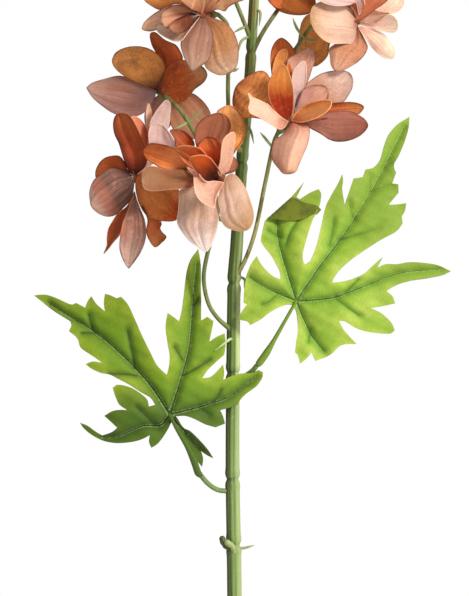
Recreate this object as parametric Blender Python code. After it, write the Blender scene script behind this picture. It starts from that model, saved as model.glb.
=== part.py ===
"""An artificial delphinium spray standing in a plain stoneware bottle vase.

+Z is up, the origin is the middle of the vase's foot, and the spray faces -Y.
Sizes and places below are in millimetres, and a place is (across, away, height).
"""

import math

import bmesh
import bpy
import numpy as np
from mathutils import Vector, geometry

MM = 0.001
GAP = 0.3  # between two pieces that touch

# The vase's half profile as (radius, height)
VASE_HEIGHT = 240.0
VASE_FLOOR = 7.5
NECK_BORE = 8.2
VASE_SIDES = 28
VASE_OUTSIDE = [
    (34.0, 0.0), (37.0, 2.5), (44.0, 20.0), (51.0, 45.0), (53.0, 70.0), (49.5, 98.0),
    (40.0, 124.0), (28.0, 147.0), (19.0, 167.0), (14.3, 188.0), (13.2, 210.0),
    (14.2, 226.0), (17.0, 236.0), (16.6, 239.2), (14.8, VASE_HEIGHT),
]
VASE_INSIDE = [
    (11.6, 238.6), (9.2, 230.0), (NECK_BORE, 212.0), (9.4, 188.0), (14.2, 167.0), (23.0, 147.0),
    (35.0, 124.0), (44.5, 98.0), (48.0, 70.0), (46.0, 45.0), (39.0, 20.0), (31.0, VASE_FLOOR),
]

# The jointed main stem
STEM_FOOT = VASE_FLOOR + GAP
STEM_LINE = [
    (6.6, 3.0, STEM_FOOT), (5.6, 2.0, 120.0), (4.5, 0.6, 212.0), (3.8, 0.0, 281.0), (3.0, 0.0, 335.0),
    (3.7, 0.0, 411.0), (4.8, 0.0, 430.0), (7.4, 0.0, 470.0), (10.8, 0.0, 508.0), (12.9, 0.0, 544.0),
    (16.0, 1.0, 600.0), (18.5, 2.0, 680.0), (19.0, 2.0, 770.0),
]
STEM_RADII = [3.4, 3.35, 3.3, 3.25, 3.1, 2.95, 2.85, 2.6, 2.4, 2.2, 1.9, 1.5, 1.0]
STEM_KNOTS = [96.0, 180.0, 293.6, 323.8, 372.6, 414.0, 469.6, 520.2, 575.0, 628.0, 682.0]
KNOT_REACH = 2.0
KNOT_PINCH = 0.82

# Petals and leaf blades are cut from cloth, larger than life in thickness
CLOTH = 0.7

# The seven flowers that the photograph shows. A petal is the way from the middle to its tip (right, up and
# toward the viewer), its width, its roll in degrees, how it cups across, curls along and narrows at the tip,
# and how far it bows sideways.
FLOWERS = {
    "right": {
        "middle": (28.0, -20.0, 487.6), "faces": (0.55, -0.50, 0.67),
        "petals": [
            (-23.5, 16.5, 2.0, 19.0, -20, -0.5, 0.3, 0.60, 0.0),
            (-18.0, 12.5, 20.0, 10.5, 25, 0.6, -0.6, 0.80, 0.0),
            (-3.6, 27.5, 9.0, 13.5, -18, 0.9, 0.5, 0.75, 0.0),
            (-1.0, 34.0, 1.0, 9.0, 40, 0.6, 0.3, 0.75, 0.0),
            (-3.4, 38.0, -8.0, 13.5, 0, 0.5, 0.2, 0.75, 0.0),
            (10.8, 34.5, -5.0, 13.5, 10, 0.5, 0.3, 0.70, 0.0),
            (7.6, 27.5, 4.0, 10.0, 50, 0.6, 0.3, 0.85, 0.0),
            (27.5, 21.0, -7.0, 17.0, 0, 0.4, 0.3, 0.60, 0.0),
            (16.5, 16.0, 2.0, 13.5, 0, 0.5, 0.3, 0.55, 0.0),
            (19.0, 9.0, 11.0, 11.0, -52, 0.9, 0.3, 0.80, 0.0),
            (35.0, 7.0, 1.0, 10.0, -50, 0.6, 0.2, 0.75, 0.0),
            (36.5, -4.0, 6.0, 16.5, 5, -0.4, 0.3, 0.65, 0.0),
            (1.4, -25.5, 19.0, 17.0, 15, 0.5, -0.8, 0.60, 0.0),
        ],
    },
    "front": {
        "middle": (-1.8, -30.0, 461.4), "faces": (-0.22, -0.80, 0.55),
        "petals": [
            (-14.5, 10.5, 17.0, 11.5, -30, 1.0, 0.5, 0.70, 0.0),
            (-13.0, -9.5, 20.0, 18.0, 25, 0.8, -0.4, 0.65, 0.0),
            (4.6, 20.5, 13.0, 10.0, 55, 0.5, 0.3, 0.80, 0.0),
            (9.5, -24.5, 10.0, 16.0, 0, -0.5, 0.3, 0.55, 0.0),
            (-7.5, -33.0, 4.0, 20.0, 5, -0.4, -0.2, 0.85, -3.5),
            (-36.0, 2.0, 6.0, 12.5, 40, 0.5, 0.4, 0.60, 0.0),
            (-35.0, 13.5, 0.0, 12.5, -30, 0.7, 0.3, 0.60, 0.0),
            (-19.5, 15.5, 6.0, 11.0, -35, 0.6, 0.3, 0.65, 0.0),
            (-4.0, 20.0, 5.0, 14.0, -10, 0.7, 0.4, 0.65, 0.0),
            (-19.5, 23.0, -5.0, 13.5, 0, 0.5, 0.3, 0.65, 0.0),
            (1.0, 30.5, -3.0, 17.0, 0, 0.5, 0.2, 0.60, 0.0),
            (8.0, 33.5, -7.0, 16.0, 0, 0.4, 0.2, 0.60, 2.0),
            (11.0, 4.5, -2.0, 11.0, 10, 0.4, 0.2, 0.60, 0.0),
        ],
    },
    "low_left": {
        "middle": (-41.9, -16.0, 462.3), "faces": (-0.30, -0.90, 0.10),
        "petals": [
            (-6.5, 28.0, 6.0, 13.5, -15, 0.6, -0.2, 0.60, 0.0),
            (2.0, 28.0, 1.0, 10.0, 45, 0.5, 0.2, 0.70, 0.0),
            (-17.0, 6.0, -3.0, 13.0, -10, 0.5, 0.3, 0.50, 0.0),
            (-18.0, -12.0, 7.0, 20.0, 0, -0.5, 0.3, 0.45, 0.0),
            (-14.5, -34.0, -2.0, 9.0, 45, 0.5, -0.3, 1.00, 0.0),
            (-2.8, -41.5, 4.0, 12.5, 0, 0.5, -0.3, 0.95, 0.0),
            (17.0, -18.0, 5.0, 20.0, 0, -0.6, 0.3, 0.45, 0.0),
            (12.5, -31.0, -5.0, 9.5, -20, 0.5, -0.7, 0.60, 0.0),
            (10.5, 25.5, -1.0, 12.5, 10, 0.4, 0.3, 0.80, 0.0),
            (15.5, 35.5, -6.0, 10.0, 40, 0.4, 0.2, 0.90, 0.0),
            (6.0, 34.0, -9.0, 8.0, 55, 0.4, 0.2, 0.90, 0.0),
        ],
    },
    "back_left": {
        "middle": (-31.3, 10.0, 503.2), "faces": (-0.50, 0.70, 0.50),
        "petals": [
            (-18.0, 17.5, 5.0, 18.5, 0, -0.5, 0.3, 0.50, 0.0),
            (-32.0, -0.5, 5.0, 18.0, 0, -0.4, 0.3, 0.75, 0.0),
            (0.0, 27.0, -3.0, 15.0, 0, -0.4, 0.3, 0.60, 0.0),
            (22.5, 6.5, 6.0, 19.0, 0, -0.4, 0.3, 0.55, 0.0),
            (21.5, -17.0, -9.0, 17.0, 0, 0.4, 0.3, 0.60, 0.0),
            (2.5, -16.0, -8.0, 16.0, 0, 0.4, 0.3, 0.60, 0.0),
            (-11.0, 20.0, -16.0, 12.0, 0, 0.5, 0.3, 0.65, 0.0),
            (-15.0, 2.0, -18.0, 12.0, 0, 0.5, 0.3, 0.65, 0.0),
        ],
    },
    "top_left": {
        "middle": (-10.1, -14.0, 536.8), "faces": (-0.78, -0.62, -0.05),
        "petals": [
            (11.5, -27.5, 3.0, 16.5, 0, -0.4, 0.3, 0.50, 0.0),
            (-5.0, -25.5, 9.0, 15.0, 5, -0.4, 0.3, 0.60, 0.0),
            (-27.5, -7.0, 0.0, 12.5, 10, 0.4, 0.3, 0.75, 0.0),
            (-16.0, -7.5, 13.0, 9.5, 35, 0.9, 0.4, 0.75, 0.0),
            (-19.5, -3.5, 9.0, 14.0, 5, 0.6, 0.4, 0.60, 0.0),
            (-15.0, -12.5, 4.0, 10.0, 20, 0.4, 0.3, 0.70, 0.0),
            (-27.0, 11.0, -3.0, 14.0, 0, 0.4, 0.3, 0.60, 0.0),
            (-11.5, 13.0, 16.0, 14.5, 0, 0.6, -0.4, 0.60, 0.0),
            (20.5, 9.0, 4.0, 15.0, 0, 0.4, -0.3, 0.55, 0.0),
            (-7.0, 27.0, -2.0, 15.0, 0, 0.4, 0.3, 0.60, 0.0),
            (6.5, 23.0, 5.0, 14.0, 0, 0.5, 0.3, 0.60, 0.0),
        ],
    },
    "top_right": {
        "middle": (58.8, -16.0, 533.6), "faces": (0.97, -0.10, -0.08),
        "petals": [
            (-18.0, -9.5, 19.0, 17.5, -12, -0.4, 0.4, 0.45, 0.0),
            (-5.5, -23.0, 5.0, 18.0, 0, -0.4, 0.3, 0.55, 0.0),
            (17.5, -18.0, 8.0, 10.5, 0, -0.3, 0.3, 0.60, 0.0),
            (19.0, -3.0, 7.0, 9.5, 20, 0.5, 0.3, 0.60, 0.0),
            (-16.0, 10.5, 18.0, 14.0, 0, 0.4, -0.3, 0.60, 0.0),
            (21.5, 8.5, 2.0, 12.0, 0, 0.4, 0.3, 0.60, 0.0),
            (11.5, 13.5, 9.0, 12.5, 0, 0.6, 0.4, 0.60, 0.0),
            (-24.5, -17.0, -25.0, 16.5, 0, 0.3, 0.2, 0.60, 0.0),
            (-9.0, 27.5, -3.0, 15.0, 0, 0.4, 0.3, 0.60, 0.0),
            (8.0, 29.0, -6.0, 15.0, 0, 0.4, 0.3, 0.60, 0.0),
        ],
    },
    "top_middle": {
        "middle": (30.4, 6.0, 553.0), "faces": (0.25, -0.45, 0.85),
        "petals": [
            (3.5, -15.5, 12.0, 19.0, 0, -0.4, 0.3, 0.50, 0.0),
            (-9.0, -11.5, 9.0, 12.0, 0, -0.4, 0.3, 0.60, 0.0),
            (19.0, -5.0, 10.0, 15.0, 0, 0.4, 0.3, 0.60, 0.0),
            (-20.0, 8.0, 15.0, 14.5, 0, 0.4, 0.3, 0.60, 0.0),
            (21.0, 14.0, -2.0, 15.0, 0, 0.4, 0.3, 0.60, 0.0),
            (-6.0, 26.0, 7.0, 15.0, 0, 0.4, 0.4, 0.60, 0.0),
            (8.0, 24.0, 12.0, 13.0, 0, 0.5, 0.4, 0.60, 0.0),
            (-14.0, 14.0, -14.0, 14.0, 0, 0.4, 0.3, 0.60, 0.0),
        ],
    },
}

# The flowers above those: a spiral up the stem, smaller and more closed towards the tip
SPIRAL_COUNT = 12
SPIRAL_HEIGHTS = (576.0, 742.0)
SPIRAL_REACH = (34.0, 12.5)
SPIRAL_PETAL = (28.0, 12.5)
SPIRAL_OPEN = (72.0, 28.0)
SPIRAL_START = math.radians(205.0)
SPIRAL_CROWDING = 0.9  # below 1 the flowers stand closer towards the tip
SPIRAL_NOD = (0.15, 0.9)  # how far the lowest and the highest flower look up
GOLDEN_ANGLE = math.radians(137.5)
INNER_WHORL_BELOW = 0.6  # share of the spiral whose flowers have a second whorl
INNER_WHORL_REACH = 0.7
INNER_WHORL_WIDTH = 0.42
INNER_WHORL_OPEN = 0.55

# The petals of those whorls
WHORL_UNEVEN = 0.06
WHORL_TILT = 0.2
WHORL_CUP = 0.55
WHORL_CURL = 0.45
WHORL_NARROW = 0.58

# How a petal is divided from claw to tip
PETAL_STEPS = (0.0, 0.3, 0.62, 0.88, 1.0)
SHORT_PETAL_STEPS = (0.0, 0.38, 0.78, 1.0)
SHORT_PETAL = 21.0

# The knob that holds a flower's petals, and the calyx that it sits on
KNOB_LENGTH = 6.0
KNOB_RADIUS = 2.8
PETAL_START = 0.34  # of the knob's length, forward of its middle
PETAL_START_SHIFT = 0.08  # further forward or less, as the petal's tip points
CALYX_LENGTH = 5.0
CALYX_RADIUS = 2.3
STALK_RADIUS = 0.95

# The stalks of the seven flowers, from the stem outwards
STALKS = {
    "right": [(5.0, -1.0, 418.0), (9.0, -3.5, 425.0), (13.5, -7.0, 438.0), (17.6, -12.0, 458.0),
              (21.6, -15.5, 477.0)],
    "front": [(2.4, -1.0, 392.5), (-3.8, -4.0, 397.9), (-8.2, -7.0, 405.0), (-10.2, -10.0, 416.0),
              (-8.6, -12.0, 427.0), (-5.0, -14.0, 440.0), (-2.0, -20.0, 454.5)],
    "low_left": [(5.6, 0.0, 440.0), (-6.0, -1.0, 445.0), (-22.0, -3.0, 453.0), (-34.0, -4.0, 460.0)],
    "back_left": [(6.0, 0.0, 454.0), (-6.0, -1.0, 467.0), (-14.5, -0.5, 483.0), (-21.5, 0.5, 494.0)],
    "top_left": [(7.2, -1.0, 474.0), (2.2, -6.0, 483.0), (0.9, -7.0, 500.0), (1.2, -7.5, 520.0),
                 (0.6, -9.0, 532.0)],
    "top_right": [(9.4, 0.5, 492.0), (15.0, 3.0, 500.0), (24.0, 3.0, 511.0), (31.5, -2.0, 521.0),
                  (38.5, -8.5, 531.0), (44.0, -12.5, 535.4)],
    "top_middle": [(11.6, -0.5, 519.0), (16.8, -1.0, 529.0), (22.0, 2.5, 537.0)],
}

# Thin bracts, each as its root, bend and tip
BRACTS = [
    [(7.0, -1.5, 487.0), (11.0, -4.0, 484.5), (12.8, -6.0, 478.0)],
    [(21.4, -15.2, 476.0), (18.6, -16.0, 479.5), (15.6, -17.0, 483.0)],
    [(-17.0, 0.5, 488.5), (-20.0, -2.0, 486.5), (-24.0, -4.0, 484.6)],
    [(-17.0, 0.5, 488.5), (-14.0, 0.0, 491.0), (-10.8, -0.5, 494.0)],
    [(35.5, -6.0, 527.0), (32.5, -8.0, 531.0), (30.6, -10.0, 535.6)],
    [(35.5, -6.0, 527.0), (38.5, -9.0, 525.5), (41.5, -11.5, 525.0)],
    [(10.6, -1.5, 527.5), (7.0, -3.0, 525.0), (5.6, -4.0, 520.0)],
    [(14.0, -1.0, 540.0), (15.8, -2.5, 538.0), (15.2, -3.5, 532.0)],
    [(1.2, -7.5, 512.0), (3.6, -8.5, 511.5), (6.0, -9.5, 512.5)],
    [(5.6, -0.5, 417.0), (8.6, -2.5, 415.5), (8.4, -3.5, 411.5)],
    [(2.6, -2.0, 388.2), (1.2, -8.0, 387.8), (-5.0, -9.6, 383.0)],
    [(5.6, -0.8, 292.0), (8.6, -1.5, 292.2), (13.0, -2.0, 293.4)],
]
BRACT_RADII = (0.55, 0.5, 0.2)

# What is left of a trimmed side shoot
SHOOT_STUB = [(3.2, -2.6, 288.5), (0.6, -4.4, 291.0), (-0.6, -4.4, 295.0), (-1.6, -3.6, 298.0)]
SHOOT_STUB_RADIUS = 1.7

# Closed buds on the tip of the stem
BUD_COUNT = 9
BUD_FIRST_HEIGHT = 748.0
BUD_SPACING = 5.6
BUD_RADII = (3.4, 1.9)

# Leaves, drawn on squared paper with x to the right and y down; grid is the size of one square, and joint
# is where the blade meets its petiole.
RIGHT_LEAF = {
    "grid": 0.0825,
    "joint": (370, 1120),
    "at": (32.3, -9.0, 405.8),
    "outline": [
        (345, 1142), (300, 1145), (230, 1180), (170, 1225), (115, 1255), (95, 1235), (50, 1225), (60, 1190),
        (95, 1140), (75, 1130), (80, 1060), (92, 985), (115, 920), (150, 870), (170, 910), (212, 960),
        (250, 988), (283, 1000), (278, 960), (262, 925), (230, 870), (178, 800), (175, 760), (200, 680),
        (225, 580), (265, 460), (325, 405), (350, 482), (357, 548), (413, 462), (390, 548), (440, 518),
        (482, 503), (506, 520), (510, 565), (492, 620), (462, 690), (430, 775), (408, 845), (405, 885),
        (416, 918), (448, 900), (480, 820), (505, 720), (530, 605), (563, 535), (600, 470), (627, 412),
        (631, 455), (626, 500), (640, 590), (665, 510), (690, 438), (742, 430), (757, 388), (802, 375),
        (838, 335), (858, 265), (885, 195), (935, 135), (1005, 90), (1000, 150), (975, 235), (938, 320),
        (918, 350), (918, 380), (928, 405), (906, 465), (940, 470), (942, 515), (885, 585), (930, 583),
        (984, 575), (976, 620), (958, 650), (963, 690), (925, 735), (850, 775), (760, 832), (680, 888),
        (620, 940), (582, 988), (570, 1018), (640, 1010), (700, 993), (752, 965), (795, 925), (850, 877),
        (822, 935), (870, 916), (930, 916), (1000, 905), (1080, 908), (1160, 922), (1235, 955), (1180, 978),
        (1090, 996), (1000, 1010), (930, 1032), (872, 1065), (906, 1095), (920, 1135), (850, 1150),
        (785, 1160), (845, 1190), (898, 1240), (918, 1285), (890, 1303), (825, 1300), (755, 1290),
        (695, 1268), (640, 1235), (607, 1232), (640, 1290), (705, 1360), (620, 1367), (560, 1420),
        (475, 1455), (455, 1405), (428, 1440), (390, 1470), (378, 1425), (362, 1408), (368, 1350),
        (378, 1290), (376, 1225), (368, 1175),
    ],
    "veins": [
        [(370, 1120), (500, 930), (640, 745), (790, 510), (900, 300), (975, 150)],
        [(370, 1120), (310, 930), (275, 760), (262, 600), (305, 470)],
        [(370, 1120), (470, 1116), (590, 1098), (760, 1035), (950, 965), (1170, 945)],
        [(370, 1120), (260, 1075), (180, 1035), (110, 990)],
        [(370, 1120), (410, 1220), (460, 1320), (520, 1400)],
    ],
    "slope": 0.0,
}
LEFT_LEAF = {
    "grid": 0.0763,
    "joint": (905, 1050),
    "at": (-25.8, -14.0, 353.7),
    "outline": [
        (893, 1140), (862, 1190), (830, 1228), (795, 1250), (780, 1215), (785, 1175), (740, 1198),
        (680, 1215), (600, 1222), (540, 1216), (480, 1198), (425, 1165), (385, 1130), (365, 1100),
        (410, 1118),
        (455, 1150), (500, 1178), (555, 1158), (590, 1130), (550, 1092), (512, 1058), (560, 1030),
        (605, 1022), (650, 1024), (602, 990), (578, 940), (562, 890), (585, 872), (622, 874), (680, 892),
        (735, 928), (770, 962), (780, 1002), (818, 992), (790, 950), (735, 918), (660, 870), (600, 838),
        (550, 812), (490, 800), (435, 775), (400, 748), (442, 732), (500, 740), (430, 692), (370, 650),
        (352, 600), (328, 572), (298, 550), (312, 515), (305, 488), (210, 430), (140, 378), (85, 335),
        (150, 330), (215, 348), (305, 388), (340, 380), (395, 408), (410, 370), (432, 340), (462, 385),
        (514, 430), (508, 375), (515, 325), (550, 335), (585, 352), (612, 343), (645, 378), (672, 425),
        (705, 500), (745, 590), (785, 670), (822, 745), (858, 785), (888, 812), (902, 750), (904, 690),
        (890, 610), (880, 520), (892, 440), (928, 465), (960, 490), (976, 430), (990, 330), (1005, 200),
        (1030, 120), (1075, 55), (1090, 150), (1092, 320), (1093, 487), (1130, 463), (1168, 490),
        (1156, 550), (1143, 612), (1190, 582), (1235, 562), (1240, 630), (1232, 692), (1180, 738),
        (1132, 785), (1100, 832), (1150, 825), (1190, 790), (1225, 750), (1232, 800), (1226, 842),
        (1262, 826), (1330, 805), (1395, 802), (1440, 785), (1465, 797), (1460, 832), (1428, 880),
        (1370, 922), (1330, 962), (1312, 992), (1270, 1008), (1208, 1025), (1225, 1062), (1237, 1105),
        (1180, 1128), (1120, 1110), (1060, 1080), (1000, 1058), (942, 1060), (985, 1130), (1030, 1155),
        (1090, 1215), (1135, 1268), (1165, 1315), (1125, 1295), (1092, 1272), (1104, 1318), (1098, 1368),
        (1050, 1310), (1000, 1225), (955, 1150), (915, 1095),
    ],
    "veins": [
        [(905, 1050), (800, 890), (700, 775), (560, 640), (430, 540), (290, 455), (180, 385)],
        [(905, 1050), (975, 830), (1020, 660), (1036, 500), (1050, 300), (1066, 140)],
        [(905, 1050), (1060, 1012), (1150, 985), (1250, 950), (1350, 880), (1430, 825)],
        [(905, 1050), (850, 1115), (740, 1120), (600, 1180), (500, 1192)],
        [(905, 1050), (960, 1112), (1020, 1180), (1090, 1262)],
    ],
    "slope": 0.12,  # it leans away towards the stem
}
LEAF_SAG = 9.0  # how far a lobe hangs back at LEAF_REACH from the joint
LEAF_REACH = 60.0
LEAF_WAVE = 0.8
LEAF_WAVE_TURNS = (0.16, 0.13)  # radians a millimetre, across and up
LEAF_WAVE_REACH = 25.0  # the waves are full from here outwards
VEIN_DEPTH = 0.7
VEIN_WIDTH = 2.0

# The right leaf's second lobe is rolled over to the front along a line
ROLL_LINE = ((200, 690), (510, 600))
ROLL_RADIUS = 2.4
ROLL_ANGLE = math.radians(165.0)
ROLL_STEPS = 3

# The left leaf's lowest lobe is pressed back, behind the petiole
PRESSED_LOBE = math.radians(-57.0)
PRESSED_SPREAD = math.radians(20.0)
PRESSED_SLOPE = 0.45

# Each leaf's petiole ends in a sleeve over a stub that the stem carries
LEAF_STUBS = {
    "right": [(4.2, 0.0, 371.0), (8.6, -0.8, 371.4), (12.0, -2.0, 373.6), (14.2, -2.85, 376.1)],
    "left": [(2.6, 0.0, 318.3), (-3.5, -1.6, 318.8), (-8.0, -4.2, 321.6), (-11.5, -7.0, 325.5)],
}
LEAF_STUB_RADIUS = 1.15
PETIOLES = {
    "right": [(18.8, -4.6, 382.2), (22.0, -6.0, 387.6), (27.0, -7.6, 396.4)],
    "left": [(-14.6, -9.6, 331.8), (-18.0, -11.8, 339.0), (-22.6, -13.4, 347.0)],
}
SLEEVE_GAP = 0.5  # its mouth and the stub's end are a little askew
SLEEVE_LENGTH = 2.0  # straight on from the stub
PETIOLE_RADII = (1.6, 1.8, 1.9, 1.4, 0.95, 0.85)

COLOURS = {
    "vase": (0.80, 0.77, 0.71), "stem": (0.30, 0.38, 0.13), "leaf": (0.27, 0.45, 0.08),
    "rust": (0.62, 0.30, 0.16), "peach": (0.82, 0.55, 0.42),
}
ROUGHNESS = {"vase": 0.35, "stem": 0.55, "leaf": 0.85, "rust": 0.9, "peach": 0.9}


def remove_all_objects():
    for old in list(bpy.data.objects):
        bpy.data.objects.remove(old)


def make_materials():
    made = {}
    for name, colour in COLOURS.items():
        made[name] = bpy.data.materials.new(name)
        made[name].use_nodes = True
        shader = made[name].node_tree.nodes["Principled BSDF"]
        shader.inputs["Base Color"].default_value = (*colour, 1.0)
        shader.inputs["Roughness"].default_value = ROUGHNESS[name]
        shader.inputs["Metallic"].default_value = 0.0
    return made


def unit(vector):
    vector = np.asarray(vector, float)
    return vector / np.linalg.norm(vector)


def linked(name, data):
    made = bpy.data.objects.new(name, data)
    bpy.context.scene.collection.objects.link(made)
    return made


def object_from(work, name):
    """An object from a bmesh in millimetres."""
    mesh = bpy.data.meshes.new(name)
    bmesh.ops.scale(work, vec=(MM, MM, MM), verts=work.verts)
    work.to_mesh(mesh)
    work.free()
    return linked(name, mesh)


def tube(name, line, radii, roundness):
    """A solid tube: a bevelled curve with filled caps, made a mesh and welded."""
    curve = bpy.data.curves.new(name, "CURVE")
    curve.dimensions = "3D"
    curve.bevel_depth = 1.0
    curve.bevel_resolution = roundness
    curve.use_fill_caps = True
    spline = curve.splines.new("POLY")
    spline.points.add(len(line) - 1)
    for point, place, radius in zip(spline.points, line, radii):
        point.co = (*place, 1.0)
        point.radius = radius
    guide = bpy.data.objects.new(name, curve)
    work = bmesh.new()
    work.from_mesh(bpy.data.meshes.new_from_object(guide))
    bpy.data.objects.remove(guide)
    bmesh.ops.remove_doubles(work, verts=work.verts, dist=0.001)
    return object_from(work, name)


def curve_through(points, steps):
    """Points on a smooth curve that passes through the given ones."""
    given = [np.asarray(p, float) for p in points]
    padded = [2 * given[0] - given[1], *given, 2 * given[-1] - given[-2]]
    made = []
    for a, b, c, d in zip(padded, padded[1:], padded[2:], padded[3:]):
        for t in np.arange(steps) / steps:
            bend = (2 * a - 5 * b + 4 * c - d) * t**2 + (3 * b - a - 3 * c + d) * t**3
            made.append(0.5 * (2 * b + (c - a) * t + bend))
    return [*made, given[-1]]


def add_solidify(sheet):
    thicken = sheet.modifiers.new("cloth", "SOLIDIFY")
    thicken.thickness = CLOTH * MM
    thicken.offset = 0.0
    return sheet


def union(name, pieces, finish):
    """Joins the pieces into one body and removes them."""
    first, rest = pieces[0], pieces[1:]
    others = bpy.data.collections.new(name + "_pieces")
    bpy.context.scene.collection.children.link(others)
    for piece in rest:
        bpy.context.scene.collection.objects.unlink(piece)
        others.objects.link(piece)
    join = first.modifiers.new("join", "BOOLEAN")
    join.operation = "UNION"
    join.operand_type = "COLLECTION"
    join.collection = others
    join.solver = "MANIFOLD"
    graph = bpy.context.evaluated_depsgraph_get()
    mesh = bpy.data.meshes.new_from_object(first.evaluated_get(graph))
    mesh.materials.clear()
    mesh.materials.append(finish)
    for piece in pieces:
        bpy.data.objects.remove(piece)
    bpy.data.collections.remove(others)
    return linked(name, mesh)


def make_vase(finish):
    """The bottle: its profile is spun round, and the foot and the floor inside are filled."""
    work = bmesh.new()
    corners = [work.verts.new((radius, 0.0, height)) for radius, height in VASE_OUTSIDE + VASE_INSIDE]
    edges = [work.edges.new(pair) for pair in zip(corners, corners[1:])]
    profile = corners + edges
    bmesh.ops.spin(work, geom=profile, axis=(0, 0, 1), angle=math.tau, steps=VASE_SIDES, use_merge=True)
    bmesh.ops.holes_fill(work, edges=work.edges)
    bmesh.ops.recalc_face_normals(work, faces=work.faces)
    vase = object_from(work, "vase")
    vase.data.materials.append(finish)
    vase.data.shade_smooth()
    vase.data.set_sharp_from_angle(angle=math.radians(40.0))


def stem_at(height):
    """The middle of the stem at a height."""
    across, away, heights = zip(*STEM_LINE)
    return np.array([np.interp(height, heights, across), np.interp(height, heights, away), height])


def main_stem():
    """The stem, a little narrower at each knot."""
    heights = [place[2] for place in STEM_LINE]
    smooth = np.array(curve_through(STEM_LINE, 4))
    stations = {h: 1.0 for h in heights if min(abs(h - knot) for knot in STEM_KNOTS) > 3 * KNOT_REACH}
    for knot in STEM_KNOTS:
        stations.update({knot - KNOT_REACH: 1.0, knot: KNOT_PINCH, knot + KNOT_REACH: 1.0})
    line, radii = [], []
    for height in sorted(stations):
        line.append([np.interp(height, smooth[:, 2], smooth[:, side]) for side in (0, 1)] + [height])
        radii.append(np.interp(height, heights, STEM_RADII) * stations[height])
    return tube("main_stem", line, radii, 3)


def stalk(name, line, middle, faces, steps):
    """A stalk that ends in its calyx, behind the knob of its flower."""
    facing = unit(faces)
    seat = np.asarray(middle, float) - facing * (KNOB_LENGTH / 2 + GAP)
    run = curve_through([*line, seat - facing * CALYX_LENGTH], steps)
    radii = [STALK_RADIUS * 1.5] + [STALK_RADIUS] * (len(run) - 1)
    run += [seat - facing * CALYX_LENGTH / 2, seat]
    return tube(name, run, [*radii, CALYX_RADIUS * 0.8, CALYX_RADIUS], 1)


def petal_from(middle, facing, tip, face, width, cup, curl, narrow, bow):
    """A petal's own axes and sizes. It starts behind or before the middle, as its tip points."""
    facing, tip = unit(facing), np.asarray(tip, float)
    start = facing * KNOB_LENGTH * (PETAL_START + PETAL_START_SHIFT * float(unit(tip) @ facing))
    along = unit(tip - start)
    face = unit(face - along * (face @ along))
    return {
        "base": np.asarray(middle, float) + start,
        "along": along, "face": face, "side": np.cross(face, along),
        "length": float(np.linalg.norm(tip - start)), "width": width, "cup": cup, "curl": curl,
        "narrow": narrow, "bow": bow, "steps": SHORT_PETAL_STEPS,
    }


def petal_point(petal, u, v):
    """A point of a petal's sheet: u from claw to tip, v from edge to edge."""
    widest = 1.9 - 0.5 * petal["narrow"]
    half = petal["width"] / 2 * abs(math.sin(math.pi * u**widest)) ** petal["narrow"] if 0 < u < 1 else 0.0
    turn = petal["curl"] * (u - 0.5)
    radius = petal["length"] / (2 * math.sin(petal["curl"] / 2))
    along = radius * (math.sin(turn) + math.sin(petal["curl"] / 2))
    lift = radius * (math.cos(petal["curl"] / 2) - math.cos(turn)) + half * petal["cup"] * v * v / 2
    across = half * v * (1 - (petal["cup"] * v) ** 2 / 6) + petal["bow"] * math.sin(math.pi * u)
    return petal["base"] + along * petal["along"] + across * petal["side"] + lift * petal["face"]


def petal_sheet(name, petal):
    steps = petal["steps"]
    work = bmesh.new()
    bmesh.ops.create_grid(work, x_segments=2, y_segments=len(steps) - 1, size=1.0)
    bmesh.ops.triangulate(work, faces=work.faces)
    for vert in work.verts:
        row = round((vert.co.y + 1) / 2 * (len(steps) - 1))
        vert.co = petal_point(petal, steps[row], vert.co.x)
    bmesh.ops.remove_doubles(work, verts=work.verts, dist=0.001)
    return add_solidify(object_from(work, name))


def knob(name, middle, facing):
    ends = [np.asarray(middle, float) + unit(facing) * KNOB_LENGTH * share for share in (-0.5, -0.1, 0.5)]
    return tube(name, ends, [KNOB_RADIUS * 0.75, KNOB_RADIUS, KNOB_RADIUS * 0.55], 1)


def make_flower(name, middle, facing, petals, finish):
    sheets = [petal_sheet(f"{name}_petal_{i}", petal) for i, petal in enumerate(petals)]
    union(name, [knob(name + "_knob", middle, facing), *sheets], finish)


def shown_petals(flower):
    """The petals of a flower that the photograph shows."""
    made = []
    for right, up, toward, width, roll, cup, curl, narrow, bow in flower["petals"]:
        tip = np.array([right, -toward, up], float)
        along = unit(tip)
        flat = unit(np.array([0.0, -1.0, 0.0]) + along * along[1])
        turn = math.radians(roll)
        face = math.cos(turn) * flat + math.sin(turn) * np.cross(along, flat)
        petal = petal_from(flower["middle"], flower["faces"], tip, face, width, cup, curl, narrow, bow)
        if petal["length"] > SHORT_PETAL:
            petal["steps"] = PETAL_STEPS
        made.append(petal)
    return made


def whorl(middle, facing, count, reach, width, open_angle, phase):
    """A ring of petals; at an open_angle of a quarter turn it is flat."""
    across = unit(np.cross(facing, (0.0, 0.0, 1.0)))
    upward = np.cross(facing, across)
    made = []
    for k in range(count):
        angle = phase + math.tau * k / count
        outward = math.cos(angle) * across + math.sin(angle) * upward
        length = reach * (1.0 + WHORL_UNEVEN * math.sin(2.3 * k + phase))
        tip = length * (math.sin(open_angle) * outward + math.cos(open_angle) * facing)
        face = facing - outward * WHORL_TILT
        made.append(petal_from(middle, facing, tip, face, width, WHORL_CUP, WHORL_CURL, WHORL_NARROW, 0.0))
    return made


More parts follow.
